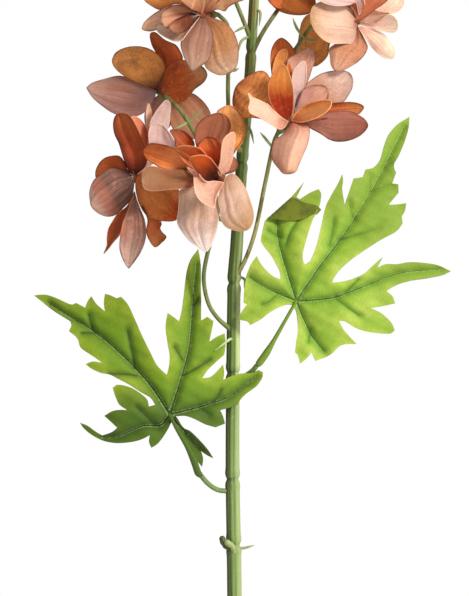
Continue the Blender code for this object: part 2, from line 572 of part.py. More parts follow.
def spiral_flowers():
    """The flowers above the seven: middle, way out from the stem, facing and petals."""
    made = []
    for k in range(SPIRAL_COUNT):
        share = k / (SPIRAL_COUNT - 1)
        angle = SPIRAL_START + GOLDEN_ANGLE * k
        outward = np.array([math.cos(angle), math.sin(angle), 0.0])
        height = np.interp(share**SPIRAL_CROWDING, (0, 1), SPIRAL_HEIGHTS)
        reach = np.interp(share, (0, 1), SPIRAL_PETAL)
        open_angle = math.radians(np.interp(share, (0, 1), SPIRAL_OPEN))
        middle = stem_at(height) + outward * np.interp(share, (0, 1), SPIRAL_REACH)
        facing = unit(outward + np.array([0.0, 0.0, np.interp(share, (0, 1), SPIRAL_NOD)]))
        count = 5 if share < INNER_WHORL_BELOW else 4
        width = reach * min(0.6, 4.2 * math.sin(open_angle) / count)
        petals = whorl(middle, facing, count, reach, width, open_angle, k * 1.1)
        if share < INNER_WHORL_BELOW:
            inner = (3, reach * INNER_WHORL_REACH, reach * INNER_WHORL_WIDTH, open_angle * INNER_WHORL_OPEN)
            petals += whorl(middle, facing, *inner, k * 1.1 + 0.6)
        made.append({"middle": middle, "outward": outward, "facing": facing, "petals": petals})
    return made


def spiral_stalk(name, flower):
    """A short stalk that leaves the stem below its flower."""
    middle = flower["middle"]
    reach = float(np.linalg.norm((middle - stem_at(middle[2]))[:2]))
    root = stem_at(middle[2] - 0.75 * reach)
    bend = root + flower["outward"] * 0.3 * reach + np.array([0.0, 0.0, 0.32 * reach])
    return stalk(name, [root, bend], middle, flower["facing"], 1)


def bud(name, index):
    """A closed bud on a short stalk from the tip of the stem."""
    share = index / (BUD_COUNT - 1)
    angle = SPIRAL_START + GOLDEN_ANGLE * (SPIRAL_COUNT + index)
    outward = np.array([math.cos(angle), math.sin(angle), 0.0]) * (1 - 0.85 * share)
    facing = unit(outward + np.array([0.0, 0.0, 0.9 + share]))
    size = np.interp(share, (0, 1), BUD_RADII)
    root = stem_at(min(BUD_FIRST_HEIGHT + BUD_SPACING * index - 4.0, STEM_LINE[-1][2] - 1.0))
    seat = root + facing * (9.0 - 4.0 * share)
    line = [root, seat] + [seat + facing * size * reach for reach in (1.0, 2.4, 3.2)]
    return tube(name, line, [0.6, 0.75, size, size * 0.8, size * 0.2], 1)


def make_stem(finish, spiral):
    """The moulded green piece: main stem, stalks, bracts, stubs and closed buds."""
    pieces = [main_stem()]
    for key, shown in FLOWERS.items():
        pieces.append(stalk(f"stalk_{key}", STALKS[key], shown["middle"], shown["faces"], 2))
    pieces += [spiral_stalk(f"stalk_{i}", flower) for i, flower in enumerate(spiral)]
    pieces += [tube(f"bract_{i}", line, BRACT_RADII, 0) for i, line in enumerate(BRACTS)]
    pieces += [bud(f"bud_{i}", i) for i in range(BUD_COUNT)]
    for key, line in LEAF_STUBS.items():
        run = curve_through(line, 2)
        pieces.append(tube(f"leaf_stub_{key}", run, [LEAF_STUB_RADIUS] * len(run), 1))
    run = curve_through(SHOOT_STUB, 2)
    pieces.append(tube("shoot_stub", run, [SHOOT_STUB_RADIUS] * len(run), 1))
    union("stem", pieces, finish)


def on_leaf(leaf, point):
    """From the squared paper to millimetres right and up from the joint."""
    joint = leaf["joint"]
    return Vector(((point[0] - joint[0]) * leaf["grid"], (joint[1] - point[1]) * leaf["grid"]))


def distance_to(line, spot):
    """How far a spot on the flat leaf is from a line of points."""
    best = math.inf
    for start, end in zip(line, line[1:]):
        share = geometry.intersect_point_line(spot, start, end)[1]
        on_line = start.lerp(end, min(max(share, 0.0), 1.0))
        best = min(best, (spot - on_line).length)
    return best


def leaf_point(leaf, veins, spot):
    """Where a spot of the flat leaf lies on the shaped one."""
    reach = spot.length
    away = LEAF_SAG * (reach / LEAF_REACH) ** 2 + leaf["slope"] * max(spot.x, 0.0)
    away += VEIN_DEPTH * math.exp(-((min(distance_to(vein, spot) for vein in veins) / VEIN_WIDTH) ** 2))
    waves = math.sin(spot.x * LEAF_WAVE_TURNS[0] + 1.0) * math.cos(spot.y * LEAF_WAVE_TURNS[1])
    away += LEAF_WAVE * waves * min(reach / LEAF_WAVE_REACH, 1.0)
    if leaf is LEFT_LEAF and reach > 0:
        off = abs(math.atan2(spot.y, spot.x) - PRESSED_LOBE) / PRESSED_SPREAD
        away += PRESSED_SLOPE * reach * math.exp(-(off**4))
    place = np.array([spot.x, away, spot.y])
    if leaf is RIGHT_LEAF:
        place = rolled(leaf, spot, place)
    return np.asarray(leaf["at"]) + place


def rolled(leaf, spot, place):
    """Rolls what lies beyond the roll line over to the front."""
    start, end = (on_leaf(leaf, point) for point in ROLL_LINE)
    line = (end - start).normalized()
    beyond = Vector((-line.y, line.x))
    past = (spot - start).dot(beyond)
    if past <= 0 or (spot - start).dot(line) > (end - start).length:
        return place
    turn = min(past / ROLL_RADIUS, ROLL_ANGLE)
    rest = past - turn * ROLL_RADIUS
    out = ROLL_RADIUS * math.sin(turn) + rest * math.cos(turn)
    front = ROLL_RADIUS * (1 - math.cos(turn)) + rest * math.sin(turn)
    flat = start + line * (spot - start).dot(line) + beyond * out
    return np.array([flat.x, place[1] - front, flat.y])


def leaf_creases(leaf):
    """The lines that the leaf's triangles follow: its veins, and the lines along its roll."""
    lines = [[on_leaf(leaf, point) for point in vein[1:-1]] for vein in leaf["veins"]]
    if leaf is RIGHT_LEAF:
        start, end = (on_leaf(leaf, point) for point in ROLL_LINE)
        beyond = Vector((start.y - end.y, end.x - start.x)).normalized()
        for step in range(ROLL_STEPS + 1):
            shift = beyond * ROLL_RADIUS * ROLL_ANGLE * step / ROLL_STEPS
            lines.append([start.lerp(end, share) + shift for share in (0.04, 0.35, 0.7, 0.97)])
    return lines


def leaf_sheet(name, leaf):
    """The cut leaf: its outline filled with triangles that follow its creases."""
    veins = [[on_leaf(leaf, point) for point in vein] for vein in leaf["veins"]]
    outline = [on_leaf(leaf, point) for point in leaf["outline"]]
    spots, edges = list(outline), []
    for line in leaf_creases(leaf):
        edges += [(len(spots) + i, len(spots) + i + 1) for i in range(len(line) - 1)]
        spots += line
    filled = geometry.delaunay_2d_cdt(spots, edges, [list(range(len(outline)))], 1, 1e-4)
    work = bmesh.new()
    corners = [work.verts.new(leaf_point(leaf, veins, spot)) for spot in filled[0]]
    for triangle in filled[2]:
        work.faces.new([corners[i] for i in triangle])
    return add_solidify(object_from(work, name))


def make_leaf(key, leaf, finish):
    stub = [np.asarray(place) for place in LEAF_STUBS[key][-2:]]
    onward = unit(stub[1] - stub[0])
    mouth = stub[1] + onward * SLEEVE_GAP
    line = [mouth, mouth + onward * SLEEVE_LENGTH, *PETIOLES[key], leaf["at"]]
    run = curve_through(line, 2)
    radii = np.interp(np.linspace(0, 1, len(run)), np.linspace(0, 1, len(line)), PETIOLE_RADII)
    petiole = tube(f"petiole_{key}", run, radii, 1)
    union("leaf_" + key, [petiole, leaf_sheet(f"blade_{key}", leaf)], finish)


def build():
    remove_all_objects()
    finish = make_materials()
    spiral = spiral_flowers()
    make_vase(finish["vase"])
    make_stem(finish["stem"], spiral)
    make_leaf("right", RIGHT_LEAF, finish["leaf"])
    make_leaf("left", LEFT_LEAF, finish["leaf"])
    for key, flower in FLOWERS.items():
        make_flower("flower_" + key, flower["middle"], flower["faces"], shown_petals(flower), finish["rust"])
    for i, flower in enumerate(spiral):
        name = f"flower_upper_{i + 1:02d}"
        colour = finish["peach" if i % 2 else "rust"]
        make_flower(name, flower["middle"], flower["facing"], flower["petals"], colour)


build()
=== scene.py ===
# %% [markdown]
# # An artificial delphinium spray in a stoneware bottle
# The real spray is a florist's one. Cloth petals, dyed by hand, are pushed onto green plastic knobs, and two
# pressed cloth leaves slip over stubs on a jointed stem. The bottle is thrown stoneware.
#
# The solids of the part come first, as a fixed frame. They say where each thing stands and how large it is,
# and every piece made below lies on one of them.

# %% The frame
import math

import bmesh
import bpy
import numpy as np
from mathutils import Matrix, Vector, geometry


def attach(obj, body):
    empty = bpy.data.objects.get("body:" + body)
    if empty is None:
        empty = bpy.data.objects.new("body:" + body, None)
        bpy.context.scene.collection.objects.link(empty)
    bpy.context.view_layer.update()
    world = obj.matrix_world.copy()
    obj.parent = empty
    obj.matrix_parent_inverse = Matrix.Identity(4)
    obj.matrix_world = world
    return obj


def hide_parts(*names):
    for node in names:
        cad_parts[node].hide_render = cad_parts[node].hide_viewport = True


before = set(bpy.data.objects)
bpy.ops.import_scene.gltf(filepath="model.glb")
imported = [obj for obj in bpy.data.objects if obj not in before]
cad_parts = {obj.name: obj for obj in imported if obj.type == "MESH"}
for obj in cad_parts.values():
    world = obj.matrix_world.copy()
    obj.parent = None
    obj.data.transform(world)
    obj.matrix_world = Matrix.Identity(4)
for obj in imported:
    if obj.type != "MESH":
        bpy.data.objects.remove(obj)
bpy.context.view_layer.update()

# %% [markdown]
# ## Millimetres, and a few small helpers
# A flower is easier to think of in millimetres than in metres. So every length below is in millimetres, and
# only the function that makes a mesh turns it into metres. A place is (across, away, height), and spots read
# off paper are written as a text.

# %% Lengths, directions and smooth lines
MM = 0.001
SHARP = math.radians(50.0)
SMOOTH_STEPS = 8


def unit(vector):
    vector = np.asarray(vector, float)
    return vector / np.linalg.norm(vector)


def smooth_line(points, steps=SMOOTH_STEPS):
    """Points on a smooth curve that passes through the given ones."""
    given = [np.asarray(p, float) for p in points]
    padded = [2 * given[0] - given[1], *given, 2 * given[-1] - given[-2]]
    made = []
    for a, b, c, d in zip(padded, padded[1:], padded[2:], padded[3:]):
        for t in np.arange(steps) / steps:
            bend = (2 * a - 5 * b + 4 * c - d) * t**2 + (3 * b - a - 3 * c + d) * t**3
            made.append(0.5 * (2 * b + (c - a) * t + bend))
    return np.array([*made, given[-1]])


def paint(red, green, blue):
    """A colour as a paint card gives it, 0 to 255, made linear for the shader."""
    return tuple(float((c / 255.0) ** 2.2) for c in (red, green, blue))


def spots_in(text):
    """Flat spots, which the text holds as x,y x,y."""
    return np.array([spot.split(",") for spot in text.split()], float)


def ramp(values, start, width):
    """0 up to the start, then rising evenly to 1 over the width."""
    return np.clip((values - start) / width, 0, 1)


# %% [markdown]
# ## Meshes with values on their points
# A cloth petal is coloured by where a spot lies on the petal, not by where it lies in the room. Mesh
# attributes carry that: each point keeps its place on the cloth, and the material reads it there.

# %% From points and triangles to a piece
def add_piece(name, points, triangles, material, attributes=None):
    """A mesh object of triangles, with named values for each of its points."""
    mesh = bpy.data.meshes.new(name)
    mesh.from_pydata((np.asarray(points) * MM).tolist(), [], np.asarray(triangles).tolist())
    for key, values in (attributes or {}).items():
        values = np.asarray(values, np.float32)
        kind, field = ("FLOAT", "value") if values.ndim == 1 else ("FLOAT_VECTOR", "vector")
        mesh.attributes.new(key, kind, "POINT").data.foreach_set(field, values.ravel())
    mesh.materials.append(material)
    return add_mesh(name, mesh)


def add_mesh(name, mesh):
    """Smooth shading that stays crisp at the sharp edges, and a place in the scene."""
    mesh.shade_smooth()
    mesh.set_sharp_from_angle(angle=SHARP)
    piece = bpy.data.objects.new(name, mesh)
    bpy.context.scene.collection.objects.link(piece)
    return piece


def hand_in(piece, slot, *nodes):
    """The piece rides on the one body and stands for these solids. Its slot is not used."""
    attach(piece, "root")
    if nodes:
        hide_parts(*nodes)
    print(piece.name, len(piece.data.polygons), "faces")


# %% Normals, and cloth of a real thickness
def point_normals(points, triangles):
    corners = points[triangles]
    across = np.cross(corners[:, 1] - corners[:, 0], corners[:, 2] - corners[:, 0])
    normals = np.zeros_like(points)
    for corner in range(3):
        np.add.at(normals, triangles[:, corner], across)
    return normals / np.maximum(np.linalg.norm(normals, axis=1, keepdims=True), 1e-12)


def thickened(points, triangles, thickness):
    """A closed solid round a sheet: the sheet twice, and a rim along its free edges."""
    count = len(points)
    offset = point_normals(points, triangles) * thickness / 2
    edges = np.concatenate([triangles[:, [a, b]] for a, b in ((0, 1), (1, 2), (2, 0))])
    keys = edges[:, 0] * count + edges[:, 1]
    free = edges[~np.isin(edges[:, 1] * count + edges[:, 0], keys)]
    start, end = free[:, 0], free[:, 1]
    near, far = np.stack([end, start, start + count], 1), np.stack([end, start + count, end + count], 1)
    solid = np.concatenate([triangles, triangles[:, ::-1] + count, near, far])
    return np.concatenate([points + offset, points - offset]), solid


# %% [markdown]
# ## Nodes written as sums
# A material is a sum of simple patterns. Written with + and *, it reads like one. Value wraps a socket, so
# that arithmetic on it adds Math nodes, and Nodes.node makes any other node from its type, its settings and
# what its sockets hold. The same two serve the Geometry Nodes trees further down.

# %% Sockets that add and multiply
class Value:
    """A socket whose sums, products and powers add Math nodes to its tree."""

    def __init__(self, nodes, socket):
        self.nodes = nodes
        self.socket = socket

    def maths(self, operation, first, second=0.0):
        return self.nodes.node("ShaderNodeMath", {"operation": operation}, {0: first, 1: second})

    def __add__(self, other):
        return self.maths("ADD", self, other)

    def __radd__(self, other):
        return self.maths("ADD", other, self)

    def __sub__(self, other):
        return self.maths("SUBTRACT", self, other)

    def __rsub__(self, other):
        return self.maths("SUBTRACT", other, self)

    def __mul__(self, other):
        return self.maths("MULTIPLY", self, other)

    def __rmul__(self, other):
        return self.maths("MULTIPLY", other, self)

    def __pow__(self, other):
        return self.maths("POWER", self, other)


class Nodes:
    """Adds nodes to a tree and links them."""

    def __init__(self, tree):
        self.tree = tree

    def node(self, kind, settings=None, sockets=None, output=0):
        made = self.tree.nodes.new(kind)
        for name, value in (settings or {}).items():
            setattr(made, name, value)
        for name, value in (sockets or {}).items():
            if isinstance(value, Value):
                self.tree.links.new(value.socket, made.inputs[name])
            else:
                made.inputs[name].default_value = value
        return Value(self, made.outputs[output])


# %% A material and the patterns it is made of
class Finish(Nodes):
    """A material: its Principled shader, and the nodes that vary over the surface."""

    def __init__(self, name, **fixed):
        self.material = bpy.data.materials.new(name)
        self.material.use_nodes = True
        super().__init__(self.material.node_tree)
        self.shader = self.tree.nodes["Principled BSDF"]
        for socket, value in fixed.items():
            self.shader.inputs[socket.replace("_", " ")].default_value = value

    def attribute(self, name, output="Vector"):
        return self.node("ShaderNodeAttribute", {"attribute_name": name}, output=output)

    def place(self):
        """Where a point is in the object, in millimetres."""
        spot = self.node("ShaderNodeTexCoord", output="Object")
        return self.stretched(spot, (1000.0, 1000.0, 1000.0))

    def stretched(self, vector, factors):
        return self.node("ShaderNodeVectorMath", {"operation": "MULTIPLY"}, {0: vector, 1: factors})

    def parts(self, vector):
        """A vector's three numbers."""
        split = self.node("ShaderNodeSeparateXYZ", None, {0: vector})
        return [Value(self, socket) for socket in split.socket.node.outputs]

    def noise(self, vector, scale, detail=3.0, roughness=0.55):
        sockets = {"Vector": vector, "Scale": scale, "Detail": detail, "Roughness": roughness}
        return self.node("ShaderNodeTexNoise", None, sockets)

    def between(self, value, low, high):
        """0 below low, 1 above high, and a smooth step in between."""
        sockets = {"Value": value, "From Min": low, "From Max": high}
        return self.node("ShaderNodeMapRange", {"interpolation_type": "SMOOTHSTEP"}, sockets)

    def blend(self, first, second, share, how="MIX"):
        """One colour over another."""
        pair = [colour if isinstance(colour, Value) else (*colour, 1.0) for colour in (first, second)]
        settings = {"data_type": "RGBA", "blend_type": how}
        return self.node("ShaderNodeMix", settings, {0: share, 6: pair[0], 7: pair[1]}, 2)

    def coated(self, colour, *coats):
        """A colour under coats of others, each with the share of it that shows."""
        for coat, share in coats:
            colour = self.blend(colour, coat, share)
        return colour

    def dimmed(self, colour, factor):
        """A colour made darker or brighter by a number."""
        return self.node("ShaderNodeVectorMath", {"operation": "SCALE"}, {0: colour, "Scale": factor})

    def use(self, socket, value):
        self.tree.links.new(value.socket, self.shader.inputs[socket])

    def raise_by(self, height, distance):
        """Feeds a height of 0 to 1 to the normal, as relief of this many millimetres."""
        sockets = {"Height": height, "Distance": distance * MM, "Strength": 1.0}
        self.use("Normal", self.node("ShaderNodeBump", None, sockets))


# %% [markdown]
# ## Camera, light and floor
# The photograph was taken square on with a long lens, so the far and the near flowers are nearly at one
# scale. Its frame cuts off the top of the spray and the bottle, and so does the camera's. The room is
# white, brighter towards the right and above, where the large soft lamp stands, and dimmer to the left
# and below, so that round things turn dark on that side.

# %% The camera, at the photograph's scale
PHOTO_SIZE = (469, 596)
PIXEL = 0.46
VIEW_MIDDLE = (3.9, 407.1)
LENS = 500.0
SENSOR = 36.0


def add_camera():
    lens = bpy.data.cameras.new("camera")
    lens.lens = LENS
    lens.sensor_width = SENSOR
    distance = LENS / SENSOR * PHOTO_SIZE[1] * PIXEL
    camera = bpy.data.objects.new("camera", lens)
    camera.location = (VIEW_MIDDLE[0] * MM, -distance * MM, VIEW_MIDDLE[1] * MM)
    camera.rotation_euler = (math.pi / 2, 0.0, 0.0)
    bpy.context.scene.collection.objects.link(camera)
    bpy.context.scene.camera = camera
    print("camera", round(distance), "mm away")


add_camera()

# %% The light all round, and the soft light from the right
DIM_SIDE, BRIGHT_SIDE = 0.02, 0.84
FALL_OFF = 1.5
BRIGHT_WAY = (0.8, -0.42, 0.43)
KEY_PLACE = (1.15, -1.35, 1.4)
KEY_POWER = 33.0
KEY_SIZE = 0.5
LIT_SPOT = Vector((0.0, 0.0, 0.45))


def light_the_room():
    world = bpy.data.worlds.new("room")
    world.use_nodes = True
    bpy.context.scene.world = world
    room = Nodes(world.node_tree)
    seen = room.node("ShaderNodeLightPath", output="Is Camera Ray")
    way = room.node("ShaderNodeTexCoord", output="Generated")
    sockets = {0: way, 1: unit(BRIGHT_WAY)}
    toward = room.node("ShaderNodeVectorMath", {"operation": "DOT_PRODUCT"}, sockets, "Value")
    light = DIM_SIDE + (BRIGHT_SIDE - DIM_SIDE) * (0.5 + 0.5 * toward) ** FALL_OFF
    back = world.node_tree.nodes["Background"]
    back.inputs["Color"].default_value = (1.0, 1.0, 1.0, 1.0)
    world.node_tree.links.new((seen + (1.0 - seen) * light).socket, back.inputs["Strength"])
    bpy.context.scene.view_settings.view_transform = "Standard"


def add_soft_light(name, place, power, size):
    lamp = bpy.data.lights.new(name, "AREA")
    lamp.energy = power
    lamp.size = size
    light = bpy.data.objects.new(name, lamp)
    light.location = place
    light.rotation_euler = (LIT_SPOT - Vector(place)).to_track_quat("-Z", "Y").to_euler()
    bpy.context.scene.collection.objects.link(light)


light_the_room()
add_soft_light("key", KEY_PLACE, KEY_POWER, KEY_SIZE)

# %% The floor
FLOOR_RADIUS = 1.6


def add_floor():
    work = bmesh.new()
    bmesh.ops.create_circle(work, cap_ends=True, segments=96, radius=FLOOR_RADIUS)
    mesh = bpy.data.meshes.new("floor")
    work.to_mesh(mesh)
    work.free()
    paper = Finish("floor_paper", Roughness=0.9)
    fibre = paper.noise(paper.place(), 0.02)
    paper.use("Base Color", paper.blend(paint(236, 234, 231), paint(242, 241, 239), fibre))
    mesh.materials.append(paper.material)
    floor = bpy.data.objects.new("floor", mesh)
    bpy.context.scene.collection.objects.link(floor)


add_floor()

# %% [markdown]
# ## The bottle
# A thrown bottle is a turned shape, so one profile makes all of it: outside from the foot to the lip, then
# inside down to the floor. The potter's fingers leave shallow rings, narrow ones on broad ones, which are
# added to the radius by a formula. Their turns are in radians a millimetre. The foot is recessed and its ring
# is bare clay, as glaze would stick it to the kiln shelf.

# %% The bottle's profile, as (radius, height)
VASE_OUTSIDE = [
    (34, 0), (37, 2.5), (44, 20), (51, 45), (53, 70), (49.5, 98), (40, 124), (28, 147), (19, 167),
    (14.3, 188), (13.2, 210), (14.2, 226), (17, 236), (16.6, 239.2), (14.8, 240),
]
VASE_INSIDE = [
    (11.6, 238.6), (9.2, 230), (8.2, 212), (9.4, 188), (14.2, 167), (23, 147), (35, 124), (44.5, 98),
    (48, 70), (46, 45), (39, 20), (31, 7.5),
]
FOOT_RECESS = [(0.0, 1.4), (27.5, 1.4), (28.6, 0.5), (29.6, 0.0)]
VASE_SIDES = 120
RING_DEPTH = 0.12
RING_TURNS = (1.05, 0.37)
RINGS_FROM, RINGS_TO, RINGS_FADE = 10.0, 222.0, 12.0


def throwing_rings(height):
    """How far the potter's fingers move the wall at a height."""
    fade = ramp(height, RINGS_FROM, RINGS_FADE) * ramp(RINGS_TO - height, 0, RINGS_FADE)
    waves = np.sin(height * RING_TURNS[0]) + 0.6 * np.sin(height * RING_TURNS[1] + 1.0)
    return RING_DEPTH * fade * waves


def turned(profile, sides):
    """Triangles of a profile spun round; both its ends lie on the axis."""
    rows = len(profile) - 2
    turn = np.arange(sides) * math.tau / sides
    ring = np.stack([np.cos(turn), np.sin(turn)], 1)
    points = [[0.0, 0.0, profile[0][1]]]
    for radius, height in profile[1:-1]:
        points += [[radius * x, radius * y, height] for x, y in ring]
    points.append([0.0, 0.0, profile[-1][1]])
    triangles = []
    for k in range(sides):
        near, far = 1 + k, 1 + (k + 1) % sides
        triangles.append((0, far, near))
        for row in range(rows - 1):
            a, b = near + row * sides, far + row * sides
            triangles += [(a, b, b + sides), (a, b + sides, a + sides)]
        triangles.append((near + (rows - 1) * sides, far + (rows - 1) * sides, len(points) - 1))
    return np.array(points), np.array(triangles)


# %% [markdown]
# ## Speckled stoneware
# The glaze is warm white over a clay with iron in it. The iron bleeds through as brown specks of two sizes,
# the glaze runs thin and brown over the lip, and it stops in a wavy line above the bare foot.

# %% The stoneware's finish
BROWN_LIP = (236.6, 240.4)
GLAZE_LINE = (5.0, 5.5)


def make_stoneware():
    clay = Finish("speckled_stoneware", IOR=1.5, Coat_Roughness=0.12)
    spot = clay.place()
    height = clay.parts(spot)[2]
    cloud = clay.noise(spot, 0.03, 4.0)
    ring = clay.noise(clay.stretched(spot, (0.01, 0.01, 0.55)), 1.0, 2.0)
    fine = clay.noise(spot, 1.15, 1.0)
    coarse = clay.noise(clay.stretched(spot, (1.0, 1.0, 0.9)), 0.42, 2.0)
    lip = clay.between(height + 2.0 * clay.noise(spot, 0.3), *BROWN_LIP)
    glaze = clay.coated(
        paint(226, 219, 206),
        (paint(238, 233, 223), clay.between(cloud, 0.35, 0.65)),
        (paint(214, 203, 184), 0.35 * clay.between(ring, 0.5, 0.75)),
        (paint(120, 84, 58), 0.75 * clay.between(fine, 0.735, 0.77)),
        (paint(92, 60, 40), 0.8 * clay.between(coarse, 0.735, 0.755)),
        (paint(158, 112, 74), 0.85 * lip),
    )
    wave = clay.noise(clay.stretched(spot, (1.0, 1.0, 0.1)), 0.06, 1.0)
    glazed = clay.between(height + 3.0 * wave, *GLAZE_LINE)
    bare = clay.blend(paint(176, 140, 106), paint(152, 116, 84), clay.noise(spot, 0.8, 4.0))
    clay.use("Base Color", clay.blend(bare, glaze, glazed))
    clay.use("Roughness", 0.86 - 0.56 * glazed + 0.06 * cloud)
    clay.use("Coat Weight", 0.5 * glazed)
    grit = clay.noise(spot, 1.9, 3.0)
    peel = clay.noise(spot, 0.35, 2.0)
    clay.raise_by(peel * 0.5 + grit * (0.9 - 0.8 * glazed), 0.12)
    return clay.material


# %% The bottle
def make_bottle():
    outside = smooth_line(VASE_OUTSIDE)
    outside[:, 0] += throwing_rings(outside[:, 1])
    inside = smooth_line([VASE_OUTSIDE[-1], *VASE_INSIDE], 6)[1:]
    profile = np.concatenate([FOOT_RECESS, outside, inside, [(0.0, VASE_INSIDE[-1][1])]])
    points, triangles = turned(profile, VASE_SIDES)
    bottle = add_piece("stoneware_bottle", points, triangles, make_stoneware())
    hand_in(bottle, "stoneware", "vase")


make_bottle()

# %% [markdown]
# ## Everything green and round
# The stem, the stalks, the bracts and the buds are all the same kind of thing: a line that has its own
# thickness at each point. So one Geometry Nodes tree makes them all. It turns the line into a curve, sweeps a
# circle along it and scales that circle by the line's own reach. The circle can have ridges, which become the
# grooves of the stem, or the folds of a bud. A section is the circle's sides, its ridges and their depth.

# %% A tree with named inputs, and what it makes
def new_tree(name, inputs):
    """A Geometry Nodes tree, whose inputs are given as name: type of socket."""
    group = bpy.data.node_groups.new(name, "GeometryNodeTree")
    for label, kind in {"Geometry": "Geometry", **inputs}.items():
        group.interface.new_socket(label, in_out="INPUT", socket_type="NodeSocket" + kind)
    group.interface.new_socket("Geometry", in_out="OUTPUT", socket_type="NodeSocketGeometry")
    nodes = Nodes(group)
    entry = group.nodes.new("NodeGroupInput")
    return nodes, {socket.name: Value(nodes, socket) for socket in entry.outputs if socket.name}


def end_tree(nodes, made, finish):
    """Makes the instances real, gives them their finish and leads them out."""
    real = nodes.node("GeometryNodeRealizeInstances", None, {"Geometry": made})
    smooth = nodes.node("GeometryNodeSetShadeSmooth", None, {"Geometry": real})
    dressed = nodes.node("GeometryNodeSetMaterial", None, {"Geometry": smooth, "Material": finish})
    leave = nodes.tree.nodes.new("NodeGroupOutput")
    nodes.tree.links.new(dressed.socket, leave.inputs[0])
    return nodes.tree


def grown(name, guide, tree, values):
    """The plain mesh that a tree makes of a guide mesh, with these values for its inputs."""
    maker = bpy.data.objects.new(name + "_guide", guide)
    bpy.context.scene.collection.objects.link(maker)
    modifier = maker.modifiers.new("tree", "NODES")
    modifier.node_group = tree
    for item in tree.interface.items_tree:
        if item.in_out == "INPUT" and item.name in values:
            modifier[item.identifier] = values[item.name]
    graph = bpy.context.evaluated_depsgraph_get()
    mesh = bpy.data.meshes.new_from_object(maker.evaluated_get(graph))
    bpy.data.objects.remove(maker)
    return mesh


# %% The tree for canes, stalks and buds
def cane_tree():
    inputs = {"Sides": "Int", "Ridges": "Int", "Ridge Depth": "Float", "Finish": "Material"}
    nodes, given = new_tree("cane", inputs)
    line = nodes.node("GeometryNodeMeshToCurve", None, {"Mesh": given["Geometry"]})
    sockets = {"Resolution": given["Sides"], "Radius": 1.0}
    circle = nodes.node("GeometryNodeCurvePrimitiveCircle", None, sockets)
    spot = nodes.node("GeometryNodeInputPosition")
    split = nodes.node("ShaderNodeSeparateXYZ", None, {0: spot})
    angle = split.maths("ARCTAN2", Value(nodes, split.socket.node.outputs[1]), split)
    wave = angle.maths("COSINE", angle * given["Ridges"])
    swell = 1.0 + wave * given["Ridge Depth"]
    moved = nodes.node("ShaderNodeVectorMath", {"operation": "SCALE"}, {0: spot, "Scale": swell})
    profile = nodes.node("GeometryNodeSetPosition", None, {"Geometry": circle, "Position": moved})
    reach = nodes.node("GeometryNodeInputNamedAttribute", {"data_type": "FLOAT"}, {"Name": "reach"})
    sockets = {"Curve": line, "Profile Curve": profile, "Scale": reach, "Fill Caps": True}
    return end_tree(nodes, nodes.node("GeometryNodeCurveToMesh", None, sockets), given["Finish"])


CANE = cane_tree()


def add_values(mesh, name, values):
    """Puts one number on each point of the mesh."""
    made = mesh.attributes.new(name, "FLOAT", "POINT")
    made.data.foreach_set("value", np.asarray(values, np.float32))


def guide_lines(name, lines, radii, shades):
    """Bare edges along lines, with a reach (the radius) and a shade (0 to 1) at each point."""
    mesh = bpy.data.meshes.new(name)
    points = np.concatenate(lines) * MM
    edges, count = [], 0
    for line in lines:
        edges += [(count + i, count + i + 1) for i in range(len(line) - 1)]
        count += len(line)
    mesh.from_pydata(points.tolist(), edges, [])
    add_values(mesh, "reach", np.concatenate(radii) * MM)
    add_values(mesh, "shade", np.concatenate(shades) if shades else np.zeros(count))
    return mesh


def canes(name, lines, radii, material, sides, ridges=0, depth=0.0, shades=None):
    """Canes along several lines, as one mesh."""
    values = {"Sides": sides, "Ridges": ridges, "Ridge Depth": depth, "Finish": material}
    return grown(name, guide_lines(name, lines, radii, shades), CANE, values)


# %% [markdown]
# ## Moulded green plastic
# The stem is moulded in segments. It is pale green below and olive above, its grooves hold a darker wash, and
# each segment starts dark under its knot. Three values on the mesh steer that: the shade says how near a
# knot is, side says which side a spot is on, for painted light on the right and painted shade on the left,
# and warm says how dry and brown the plastic looks. A piece without one of them reads nought.

# %% The green of the stem and its stalks
PALE_BELOW, OLIVE_ABOVE = 300.0, 430.0
BROWN_RISE = (470.0, 540.0)
# The band below the flowers where the painted light is stronger and the painted shade weaker.
PAINTED_LIGHT_RISE, PAINTED_LIGHT_FALL = (358.0, 374.0), (408.0, 424.0)


